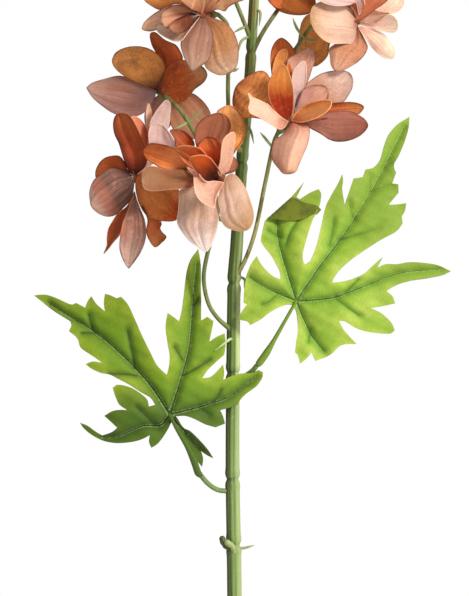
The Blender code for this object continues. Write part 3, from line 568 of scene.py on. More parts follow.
def make_stem_green():
    green = Finish("moulded_green", IOR=1.46, Sheen_Weight=0.08)
    spot = green.place()
    height = green.parts(spot)[2]
    shade, warm, side = (green.attribute(name, "Fac") for name in ("shade", "warm", "side"))
    cloud = green.noise(spot, 0.07, 3.0)
    streak = green.noise(green.stretched(spot, (1.6, 1.6, 0.05)), 1.0, 3.0)
    wash = green.noise(green.stretched(spot, (0.9, 0.9, 0.03)), 1.0, 2.0)
    brown = green.between(green.noise(green.stretched(spot, (0.5, 0.5, 0.06)), 1.0, 3.0), 0.44, 0.62)
    bloom = green.noise(spot, 0.5, 4.0)
    olive = green.blend(paint(78, 104, 42), paint(112, 136, 64), streak)
    dry = green.blend(paint(176, 166, 104), paint(112, 92, 44), brown)
    painted_light_band = green.between(height, *PAINTED_LIGHT_RISE) * (1.0 - green.between(height, *PAINTED_LIGHT_FALL))
    uneven = 0.5 * (streak - 0.5)
    colour = green.coated(
        green.blend(paint(104, 128, 62), paint(138, 162, 94), streak),
        (olive, green.between(height + 70.0 * (cloud - 0.5), PALE_BELOW, OLIVE_ABOVE)),
        (paint(88, 84, 38), 0.5 * green.between(wash, 0.52, 0.66)),
        (paint(58, 76, 34), 0.5 * green.between(shade, 0.3, 1.0)),
        (paint(120, 82, 34), 0.7 * brown * green.between(height, *BROWN_RISE)),
        (dry, 0.75 * warm),
        # Painted light on the right side and painted shade on the left, with more light and less shade in the
        # band below the flowers, where their shadow falls.
        (paint(196, 208, 138), (0.46 + 0.5 * painted_light_band) * green.between(side + uneven, 0.12, 0.75)),
        (paint(72, 74, 28), (0.66 - 0.4 * painted_light_band) * green.between(uneven - side, 0.2, 0.8)),
        (paint(196, 206, 160), 0.18 * green.between(bloom, 0.6, 0.75)),
    )
    green.use("Base Color", colour)
    green.use("Roughness", 0.46 + 0.2 * cloud)
    green.raise_by(0.7 * streak + 0.3 * green.noise(spot, 1.4, 3.0), 0.18)
    return green.material


STEM_GREEN = make_stem_green()

# %% The main stem's line, thickness and knots
STEM_LINE = [
    (6.6, 3, 7.8), (5.6, 2, 120), (4.5, 0.6, 212), (3.8, 0, 281), (3, 0, 335), (3.7, 0, 411), (4.8, 0, 430),
    (7.4, 0, 470), (10.8, 0, 508), (12.9, 0, 544), (16, 1, 600), (18.5, 2, 680), (19, 2, 770),
]
STEM_RADII = [3.4, 3.35, 3.3, 3.25, 3.1, 2.95, 2.85, 2.6, 2.4, 2.2, 1.9, 1.5, 1.0]
STEM_KNOTS = [96.0, 180.0, 293.6, 323.8, 372.6, 414.0, 469.6, 520.2, 575.0, 628.0, 682.0]
KNOT_PINCH = 0.17
KNOT_WIDTH = 1.0
SHOULDER = 0.07
SHOULDER_AT = 3.0
SHOULDER_WIDTH = 1.6
KNOT_SHADE_WIDTH, KNOT_SHADE_LENGTH, SHADE_BELOW_KNOT = 0.9, 7.0, 0.6
STATION_STEP = 4.0
KNOT_STATIONS = np.arange(-6.0, 6.01, 0.4)
STEM_SECTION = (72, 9, 0.045)


def stem_at(height):
    """The middle of the stem at a height."""
    across, away, heights = zip(*STEM_LINE)
    return np.array([np.interp(height, heights, across), np.interp(height, heights, away), height])


def vertex_places(mesh):
    """The places of the mesh's points, in millimetres."""
    flat = np.empty(len(mesh.vertices) * 3, np.float32)
    mesh.vertices.foreach_get("co", flat)
    return flat.reshape(-1, 3) / MM


def make_main_stem():
    heights = [place[2] for place in STEM_LINE]
    smooth = smooth_line(STEM_LINE)
    near = np.concatenate([knot + KNOT_STATIONS for knot in STEM_KNOTS])
    stations = np.concatenate([np.arange(heights[0], heights[-1], STATION_STEP), near, heights[-1:]])
    stations = np.unique(np.round(stations, 2))
    line = np.stack([np.interp(stations, smooth[:, 2], smooth[:, side]) for side in (0, 1)] + [stations], 1)
    swell, shade = np.ones(len(stations)), np.zeros(len(stations))
    for knot in STEM_KNOTS:
        off = stations - knot
        swell -= KNOT_PINCH * np.exp(-((off / KNOT_WIDTH) ** 2))
        swell += SHOULDER * np.exp(-(((np.abs(off) - SHOULDER_AT) / SHOULDER_WIDTH) ** 2))
        below = np.exp(-np.abs(off) / KNOT_SHADE_LENGTH) * (off < 0)
        shade += np.exp(-((off / KNOT_SHADE_WIDTH) ** 2)) + SHADE_BELOW_KNOT * below
    radii = np.interp(stations, heights, STEM_RADII) * swell
    mesh = canes("jointed_stem", [line], [radii], STEM_GREEN, *STEM_SECTION, [np.minimum(shade, 1.0)])
    places = vertex_places(mesh)
    middles = np.interp(places[:, 2], line[:, 2], line[:, 0])
    reach = np.interp(places[:, 2], stations, radii)
    # Which side of the stem a point is on, for the painted light and shade.
    add_values(mesh, "side", (places[:, 0] - middles) / reach)
    hand_in(add_mesh("jointed_stem", mesh), "stem_green", "stem")


make_main_stem()


# %% Stubs for the leaves
LEAF_STUBS = {
    "right": [(4.2, 0, 371), (8.6, -0.8, 371.4), (12, -2, 373.6), (14.2, -2.85, 376.1)],
    "left": [(2.6, 0, 318.3), (-3.5, -1.6, 318.8), (-8, -4.2, 321.6), (-11.5, -7, 325.5)],
}
LEAF_STUB_RADIUS = 1.15
LEAF_STUB_SIDES = 20


def thickness_along(line, radii):
    """Radii spread evenly over the points of a line."""
    return np.interp(np.linspace(0, 1, len(line)), np.linspace(0, 1, len(radii)), radii)


def make_leaf_stubs():
    lines = [smooth_line(line) for line in LEAF_STUBS.values()]
    radii = [np.full(len(line), LEAF_STUB_RADIUS) for line in lines]
    mesh = canes("leaf_stubs", lines, radii, STEM_GREEN, LEAF_STUB_SIDES)
    hand_in(add_mesh("leaf_stubs", mesh), "stem_green")


make_leaf_stubs()

# %% [markdown]
# ## Two pressed leaves
# A cloth leaf is cut with a die and pressed in a heated mould, which leaves creased veins. The outline is
# therefore drawn flat, on squared paper, as spots x,y, and smoothed between its corners. The veins are drawn
# on the same paper. Then the sheet is filled with small triangles, denser beside the veins, and bent.

# %% The leaves on squared paper, with x to the right and y down
RIGHT_LEAF = {
    "grid": 0.0825,
    "joint": (370, 1120),
    "at": (32.3, -9.0, 405.8),
    "outline": """
        345,1142 300,1145 230,1180 170,1225 115,1255 95,1235 50,1225 60,1190 95,1140 75,1130 80,1060 92,985
        115,920 150,870 170,910 212,960 250,988 283,1000 278,960 262,925 230,870 178,800 175,760 195,675
        203,600 203,519 219,452 233,416 252,381 282,357 303,387 308,425 316,473 327,501 340,545 414,458
        371,542 390,554 446,518 495,498 509,530 495,604 458,676 430,765 408,845 405,885 416,918 448,900
        480,820 505,720 530,605 563,535 600,470 627,412 631,455 626,500 640,590 665,510 690,438 742,430
        757,388 802,375 838,335 858,265 885,195 935,135 1005,90 1000,150 975,235 938,320 918,350 918,380
        928,405 906,465 940,470 942,515 885,585 930,583 984,575 976,620 958,650 963,690 925,735 850,775
        760,832 680,888 620,940 582,988 570,1018 640,1010 700,993 752,965 795,925 850,877 822,935 870,916
        930,916 1000,905 1080,908 1160,922 1235,955 1180,978 1090,996 1000,1010 930,1032 872,1065 906,1095
        920,1135 850,1150 785,1160 845,1190 898,1240 918,1285 890,1303 825,1300 755,1290 695,1268 640,1235
        607,1232 640,1290 705,1360 620,1367 560,1420 475,1455 455,1405 428,1440 390,1470 378,1425 362,1408
        368,1350 378,1290 376,1225 368,1175
    """,
    "veins": [
        "370,1120 500,930 640,745 790,510 900,300 975,150", "370,1120 310,930 272,790 262,664 245,540",
        "370,1120 470,1116 590,1098 760,1035 950,965 1170,945", "370,1120 260,1075 180,1035 110,990",
        "370,1120 410,1220 460,1320 520,1400",
    ],
    "side_veins": [
        "555,810 570,740 580,657", "606,782 717,750 828,713", "786,514 837,491 911,468",
        "781,519 783,470 786,426", "310,815 337,741 388,657", "287,768 254,754 213,727",
        "643,1073 680,1036 717,1000", "587,1106 643,1147 721,1203", "254,1092 217,1124 180,1138",
        "448,1277 442,1310 439,1351", "690,668 672,610 664,560", "860,380 880,360 905,350",
    ],
    "slope": 0.0,
}
LEFT_LEAF = {
    "grid": 0.0763,
    "joint": (905, 1050),
    "at": (-25.8, -14.0, 353.7),
    "outline": """
        893,1140 862,1190 830,1228 795,1250 780,1215 785,1175 740,1198 680,1215 600,1222 540,1216 480,1198
        425,1165 385,1130 365,1100 410,1118 455,1150 500,1178 555,1158 590,1130 550,1092 512,1058 560,1030
        605,1022 650,1024 602,990 578,940 562,890 585,872 622,874 680,892 735,928 770,962 780,1002 818,992
        790,950 735,918 660,870 600,838 550,812 490,800 435,775 400,748 442,732 500,740 430,692 370,650
        352,600 328,572 298,550 312,515 305,488 210,430 140,378 85,335 150,330 215,348 305,388 340,380
        395,408 410,370 432,340 462,385 514,430 508,375 515,325 550,335 585,352 612,343 645,378 672,425
        705,500 745,590 785,670 822,745 858,785 888,812 902,750 904,690 890,610 880,520 892,440 928,465
        960,490 976,430 990,330 1005,200 1030,120 1075,55 1090,150 1092,320 1093,487 1130,463 1168,490
        1156,550 1143,612 1190,582 1235,562 1240,630 1232,692 1180,738 1132,785 1100,832 1150,825 1190,790
        1225,750 1232,800 1226,842 1262,826 1330,805 1395,802 1440,785 1465,797 1460,832 1428,880 1370,922
        1330,962 1312,992 1270,1008 1208,1025 1225,1062 1237,1105 1180,1128 1120,1110 1060,1080 1000,1058
        942,1060 985,1130 1030,1155 1090,1215 1135,1268 1165,1315 1125,1295 1092,1272 1104,1318 1098,1368
        1050,1310 1000,1225 955,1150 915,1095
    """,
    "veins": [
        "905,1050 800,890 700,775 560,640 430,540 290,455 180,385",
        "905,1050 975,830 1020,660 1036,500 1050,300 1066,140",
        "905,1050 1060,1012 1150,985 1250,950 1350,880 1430,825",
        "905,1050 850,1115 740,1120 600,1180 500,1192", "905,1050 960,1112 1020,1180 1090,1262",
    ],
    "side_veins": [
        "697,764 674,653 651,543", "448,547 429,497 416,450", "711,820 651,810 540,806",
        "448,561 412,562 374,561", "983,727 956,681 932,644", "988,815 1066,773 1149,718",
        "1085,1009 1112,1030 1140,1050", "835,1124 780,1078 706,1004", "1160,980 1195,940 1215,900",
        "1045,400 1068,372 1078,340",
    ],
    "slope": 0.12,
}
CORNER = math.radians(38.0)
OUTLINE_STEPS = 4


def on_leaf(leaf, text):
    """From spots on the squared paper to millimetres right and up from the joint."""
    return (spots_in(text) - leaf["joint"]) * (leaf["grid"], -leaf["grid"])


def cut_outline(leaf):
    """The outline, rounded between its corners and straight into them."""
    corners = on_leaf(leaf, leaf["outline"])
    before, after = corners - np.roll(corners, 1, 0), np.roll(corners, -1, 0) - corners
    turn = np.abs(np.angle((after[:, 0] + 1j * after[:, 1]) / (before[:, 0] + 1j * before[:, 1])))
    smooth = turn < CORNER
    made = []
    for i, start in enumerate(corners):
        k = (i + 1) % len(corners)
        leave = (before[i] + after[i]) / 2 if smooth[i] else after[i]
        arrive = (before[k] + after[k]) / 2 if smooth[k] else before[k]
        for t in np.arange(OUTLINE_STEPS) / OUTLINE_STEPS:
            bend = (3 * after[i] - 2 * leave - arrive) * t**2 + (leave + arrive - 2 * after[i]) * t**3
            made.append(start + leave * t + bend)
    return np.array(made)


# %% Distances to the veins
def distance_to(lines, spots):
    """How far each spot is from the nearest of several lines, and how far along that line."""
    best, along = np.full(len(spots), np.inf), np.zeros(len(spots))
    for line in lines:
        lengths = np.linalg.norm(np.diff(line, axis=0), axis=1)
        for i, length in enumerate(lengths):
            way = (line[i + 1] - line[i]) / length
            on = np.clip((spots - line[i]) @ way, 0, length)
            off = np.linalg.norm(spots - line[i] - on[:, None] * way, axis=1)
            share = (lengths[:i].sum() + on) / lengths.sum()
            along = np.where(off < best, share, along)
            best = np.minimum(best, off)
    return best, along


# %% The shape that the mould gives the leaf
LEAF_SAG = 9.0
LEAF_REACH = 60.0
LEAF_WAVE, LEAF_WAVE_TURNS, LEAF_WAVE_FULL_AT = 0.8, (0.16, 0.13), 25.0
LEAF_RIPPLE, LEAF_RIPPLE_TURNS = 0.22, (0.55, 0.42)
VEIN_DEPTH = 1.0
VEIN_WIDTH = 1.7
QUILT_DEPTH = 2.5
QUILT_WIDTH = 5.5
QUILT_LEVEL = 0.4
SIDE_VEIN_DEPTH = 1.1
SIDE_VEIN_WIDTH = 1.5
CREASE_DEPTH = 0.35
CREASE_WIDTH = 0.5
ROLL_LINE = "202,684 348,554"
ROLL_RADIUS = 0.9
ROLL_FLARE = 0.6
ROLL_LIFT = 0.7
ROLL_ANGLE = math.radians(165.0)
PRESSED_LOBE = math.radians(-57.0)
PRESSED_SPREAD = math.radians(20.0)
PRESSED_SLOPE = 0.45


def rolled(leaf, spots, places, calm):
    """Rolls what lies beyond the roll line over to the front, where it lies calmer than the leaf."""
    start, end = on_leaf(leaf, ROLL_LINE)
    length = np.linalg.norm(end - start)
    line = (end - start) / length
    beyond = np.array([-line[1], line[0]])
    past, on = (spots - start) @ beyond, (spots - start) @ line
    turn = np.clip(past / ROLL_RADIUS, 0, ROLL_ANGLE)
    rest = past - turn * ROLL_RADIUS
    out = ROLL_RADIUS * np.sin(turn) + rest * np.cos(turn)
    front = ROLL_RADIUS * (1 - np.cos(turn)) + rest * np.sin(turn)
    flat = start + on[:, None] * line + out[:, None] * beyond
    share = turn / ROLL_ANGLE
    under = places[:, 1] * (1 - share) + (calm - ROLL_LIFT) * share
    moved = np.stack([flat[:, 0], under - front, flat[:, 1]], 1)
    inside = (past > 0) & (on <= length + ROLL_FLARE * past)
    return np.where(inside[:, None], moved, places)


def leaf_places(leaf, spots, veins, side_veins):
    """Where the spots of the flat leaf lie on the shaped one."""
    x, y = spots[:, 0], spots[:, 1]
    reach = np.linalg.norm(spots, axis=1)
    main, _ = distance_to(veins, spots)
    side, _ = distance_to(side_veins, spots)
    calm = LEAF_SAG * (reach / LEAF_REACH) ** 2 + leaf["slope"] * np.maximum(x, 0)
    away = calm + VEIN_DEPTH * np.exp(-((main / VEIN_WIDTH) ** 2))
    away += QUILT_DEPTH * (np.exp(-main / QUILT_WIDTH) - QUILT_LEVEL)
    away += CREASE_DEPTH * np.exp(-((main / CREASE_WIDTH) ** 2))
    away += SIDE_VEIN_DEPTH * np.exp(-((side / SIDE_VEIN_WIDTH) ** 2))
    wave = np.sin(x * LEAF_WAVE_TURNS[0] + 1.0) * np.cos(y * LEAF_WAVE_TURNS[1])
    away += LEAF_WAVE * wave * np.minimum(reach / LEAF_WAVE_FULL_AT, 1.0)
    turns = LEAF_RIPPLE_TURNS
    away += LEAF_RIPPLE * np.sin(x * turns[0] + 0.6 * y) * np.sin(y * turns[1] + 2.0)
    if leaf is LEFT_LEAF:
        off = np.abs(np.arctan2(y, x) - PRESSED_LOBE) / PRESSED_SPREAD
        away += PRESSED_SLOPE * reach * np.exp(-(off**4))
    places = np.stack([x, away, y], 1)
    if leaf is RIGHT_LEAF:
        places = rolled(leaf, spots, places, calm)
    return places + leaf["at"]


# %% The sheet, filled with triangles
LEAF_GRAIN = 0.8
VEIN_OFFSETS = (-0.95, -0.4, 0.0, 0.4, 0.95)
VEIN_STEP = 0.6
CLEAR_OF_VEINS, CLEAR_OF_EDGE = 1.3, 0.3
LEAF_THICKNESS = 0.42
FILL_INSIDE, MERGED_WITHIN = 1, 1e-4


def beside(lines):
    """Spots along lines and a little to both sides of them."""
    made = []
    for line in lines:
        lengths = np.concatenate([[0.0], np.cumsum(np.linalg.norm(np.diff(line, axis=0), axis=1))])
        at = np.arange(VEIN_STEP, lengths[-1], VEIN_STEP)
        middle = np.stack([np.interp(at, lengths, line[:, side]) for side in (0, 1)], 1)
        way = np.gradient(middle, axis=0)
        way /= np.linalg.norm(way, axis=1, keepdims=True)
        for offset in VEIN_OFFSETS:
            made.append(middle + offset * np.stack([-way[:, 1], way[:, 0]], 1))
    return np.concatenate(made)


def inside_outline(outline, spots):
    """Which spots lie inside a closed outline, by counting crossings."""
    crossed = np.zeros(len(spots), bool)
    for (ax, ay), (bx, by) in zip(outline, np.roll(outline, -1, 0)):
        level = (ay > spots[:, 1]) != (by > spots[:, 1])
        crossed ^= level & (spots[:, 0] < (bx - ax) * (spots[:, 1] - ay) / (by - ay + 1e-12) + ax)
    return crossed


def leaf_sheet(leaf):
    """Spots and triangles of the flat leaf."""
    veins = [smooth_line(on_leaf(leaf, vein), 6) for vein in leaf["veins"]]
    side_veins = [smooth_line(on_leaf(leaf, vein), 4) for vein in leaf["side_veins"]]
    outline = cut_outline(leaf)
    low, high = outline.min(0), outline.max(0)
    rows = np.arange(low[1], high[1], LEAF_GRAIN * math.sqrt(0.75))
    columns = np.arange(low[0], high[0], LEAF_GRAIN)
    grid = np.array([(x + LEAF_GRAIN / 2 * (k % 2), y) for k, y in enumerate(rows) for x in columns])
    near, _ = distance_to(veins + side_veins, grid)
    spots = np.concatenate([grid[near > CLEAR_OF_VEINS], beside(veins + side_veins)])
    edge, _ = distance_to([np.concatenate([outline, outline[:1]])], spots)
    spots = spots[inside_outline(outline, spots) & (edge > CLEAR_OF_EDGE)]
    spots = np.concatenate([outline, spots])
    flat, rim = [Vector(spot) for spot in spots], [list(range(len(outline)))]
    filled = geometry.delaunay_2d_cdt(flat, [], rim, FILL_INSIDE, MERGED_WITHIN)
    return np.array([tuple(spot) for spot in filled[0]]), np.array(filled[2]), veins, side_veins


# %% [markdown]
# ## Printed green cloth
# The cloth is printed a fresh green that is yellower towards the edges, with painted shade along and beside
# the veins. Each vein is a dark line in its crease, with a thin painted highlight beside it. A leaf can be
# darker far from its joint, and carry painted shade low down. The underside is darker and duller, which shows
# where a lobe is rolled over. Everything is read from the flat leaf, so it bends with it.

# %% The leaves' finish
def make_leaf_cloth(name, colours, far_shade=0.0, low_shade=0.0):
    deep, fresh, yellow, under = colours
    cloth = Finish(name, IOR=1.4, Sheen_Weight=0.15, Sheen_Roughness=0.5)
    flat = cloth.attribute("flat_place")
    x, y, _ = cloth.parts(flat)
    fields = ("vein", "side_vein", "underside", "edge", "painted_vein_shade")
    vein, side_vein, below, edge, painted_vein_shade = (cloth.attribute(field, "Fac") for field in fields)
    cloud = cloth.noise(flat, 0.05, 3.0)
    patch = cloth.noise(flat, 0.09, 5.0, 0.6)
    grain = cloth.noise(flat, 1.6, 3.0)
    threads = cloth.noise(cloth.stretched(flat, (3.2, 0.5, 1.0)), 1.0, 2.0)
    far = cloth.between((x * x + y * y) ** 0.5 + 16.0 * (cloud - 0.5), 30.0, 54.0)
    low = cloth.between(12.0 * (cloud - 0.5) - y, -18.0, 2.0)
    line = cloth.between(vein, 0.8, 0.97) * 0.7 + cloth.between(side_vein, 0.76, 0.97) * 0.6
    line = line * cloth.between(cloth.noise(flat, 0.35, 3.0), 0.3, 0.6)
    painted_vein_highlight = cloth.between(vein, 0.4, 0.62) * (1.0 - cloth.between(vein, 0.66, 0.8))
    colour = cloth.coated(
        fresh,
        (yellow, cloth.between(cloud + 0.4 * (1.0 - vein) * edge, 0.48, 0.9)),
        (deep, 0.25 * cloth.between(patch, 0.42, 0.72)),
        # Painted shade beside and along the veins.
        (deep, 0.5 * cloth.between(painted_vein_shade + 0.3 * (patch - 0.5), 0.2, 0.85)),
        (deep, 0.45 * cloth.between(vein, 0.0, 0.8)),
        (deep, 0.75 * cloth.between(side_vein, 0.0, 0.9)),
        (cloth.dimmed(fresh, 0.7), far_shade * far),
        # Painted shade low on the leaf.
        (deep, low_shade * low),
        (cloth.dimmed(deep, 0.4), line),
        # A thin painted highlight beside each vein.
        (paint(206, 226, 150), 0.6 * painted_vein_highlight * cloth.between(grain, 0.4, 0.6)),
    )
    back = cloth.coated(
        under,
        (cloth.dimmed(under, 0.5), cloth.between(patch, 0.4, 0.64)),
        (cloth.dimmed(fresh, 0.8), 0.45 * cloth.between(cloud, 0.5, 0.8)),
    )
    front = cloth.dimmed(colour, (0.86 + 0.28 * threads) ** 2.2)
    cloth.use("Base Color", cloth.blend(front, back, below * 0.92))
    cloth.use("Roughness", 0.58 + 0.22 * grain + 0.1 * below)
    cloth.raise_by(0.6 * threads + 0.4 * grain, 0.1)
    return cloth.material


# %% The blades and their petioles
LEAF_COLOURS = {
    "right": (paint(88, 132, 34), paint(144, 178, 52), paint(178, 198, 76), paint(106, 112, 20)),
    "left": (paint(60, 88, 12), paint(114, 148, 22), paint(146, 168, 38), paint(54, 80, 30)),
}
LEAF_SHADES = {"right": (0.8, 0.0), "left": (0.1, 0.8)}
PETIOLE_COLOURS = {
    "right": (paint(84, 104, 30), paint(120, 146, 42), paint(146, 168, 68), paint(104, 112, 22)),
    "left": (paint(52, 74, 20), paint(78, 104, 30), paint(104, 130, 44), paint(54, 80, 30)),
}
PETIOLES = {
    "right": [(18.8, -4.6, 382.2), (22, -6, 387.6), (27, -7.6, 396.4)],
    "left": [(-14.6, -9.6, 331.8), (-18, -11.8, 339), (-22.6, -13.4, 347)],
}
SLEEVE_GAP = 0.5
SLEEVE_LENGTH = 2.0
PETIOLE_RADII = (1.35, 1.65, 1.6, 1.0, 0.8, 0.75)
PETIOLE_SECTION = (16, 4, 0.06)
VEIN_PRINT, VEIN_PRINT_TAPER, SIDE_VEIN_PRINT = 1.15, 0.6, 0.6
EDGE_PRINT = 3.0
PAINTED_VEIN_SHADE_WIDTHS = (3.6, 2.2)


def make_leaf(key, leaf):
    material = make_leaf_cloth(f"leaf_cloth_{key}", LEAF_COLOURS[key], *LEAF_SHADES[key])
    spots, triangles, veins, side_veins = leaf_sheet(leaf)
    points = leaf_places(leaf, spots, veins, side_veins)
    if point_normals(points, triangles)[:, 1].mean() > 0:
        triangles = triangles[:, ::-1]
    solid, faces = thickened(points, triangles, LEAF_THICKNESS)
    main, along = distance_to(veins, spots)
    side, _ = distance_to(side_veins, spots)
    edge, _ = distance_to([cut_outline(leaf)], spots)
    width = VEIN_PRINT - VEIN_PRINT_TAPER * along
    # How near a spot is to a vein, for the painted shade beside the veins.
    painted_vein_shade = np.minimum(main / PAINTED_VEIN_SHADE_WIDTHS[0], side / PAINTED_VEIN_SHADE_WIDTHS[1])
    values = {
        "flat_place": np.column_stack([spots, np.zeros(len(spots))]),
        "vein": np.exp(-((main / width) ** 2)),
        "side_vein": np.exp(-((side / SIDE_VEIN_PRINT) ** 2)),
        "edge": np.exp(-edge / EDGE_PRINT),
        "underside": np.zeros(len(spots)),
        "painted_vein_shade": np.exp(-painted_vein_shade),
    }
    values = {name: np.concatenate([value, value]) for name, value in values.items()}
    values["underside"][len(spots):] = 1.0
    blade = add_piece(f"leaf_{key}_blade", solid, faces, material, values)
    hand_in(blade, "leaf_cloth", "leaf_" + key)
    stub = np.array(LEAF_STUBS[key][-2:])
    onward = unit(stub[1] - stub[0])
    mouth = stub[1] + onward * SLEEVE_GAP
    run = smooth_line([mouth, mouth + onward * SLEEVE_LENGTH, *PETIOLES[key], leaf["at"]])
    green = make_leaf_cloth(f"petiole_{key}", PETIOLE_COLOURS[key])
    radii = [thickness_along(run, PETIOLE_RADII)]
    mesh = canes(f"petiole_{key}", [run], radii, green, *PETIOLE_SECTION)
    hand_in(add_mesh(f"leaf_{key}_petiole", mesh), "leaf_cloth")


make_leaf("right", RIGHT_LEAF)
make_leaf("left", LEFT_LEAF)
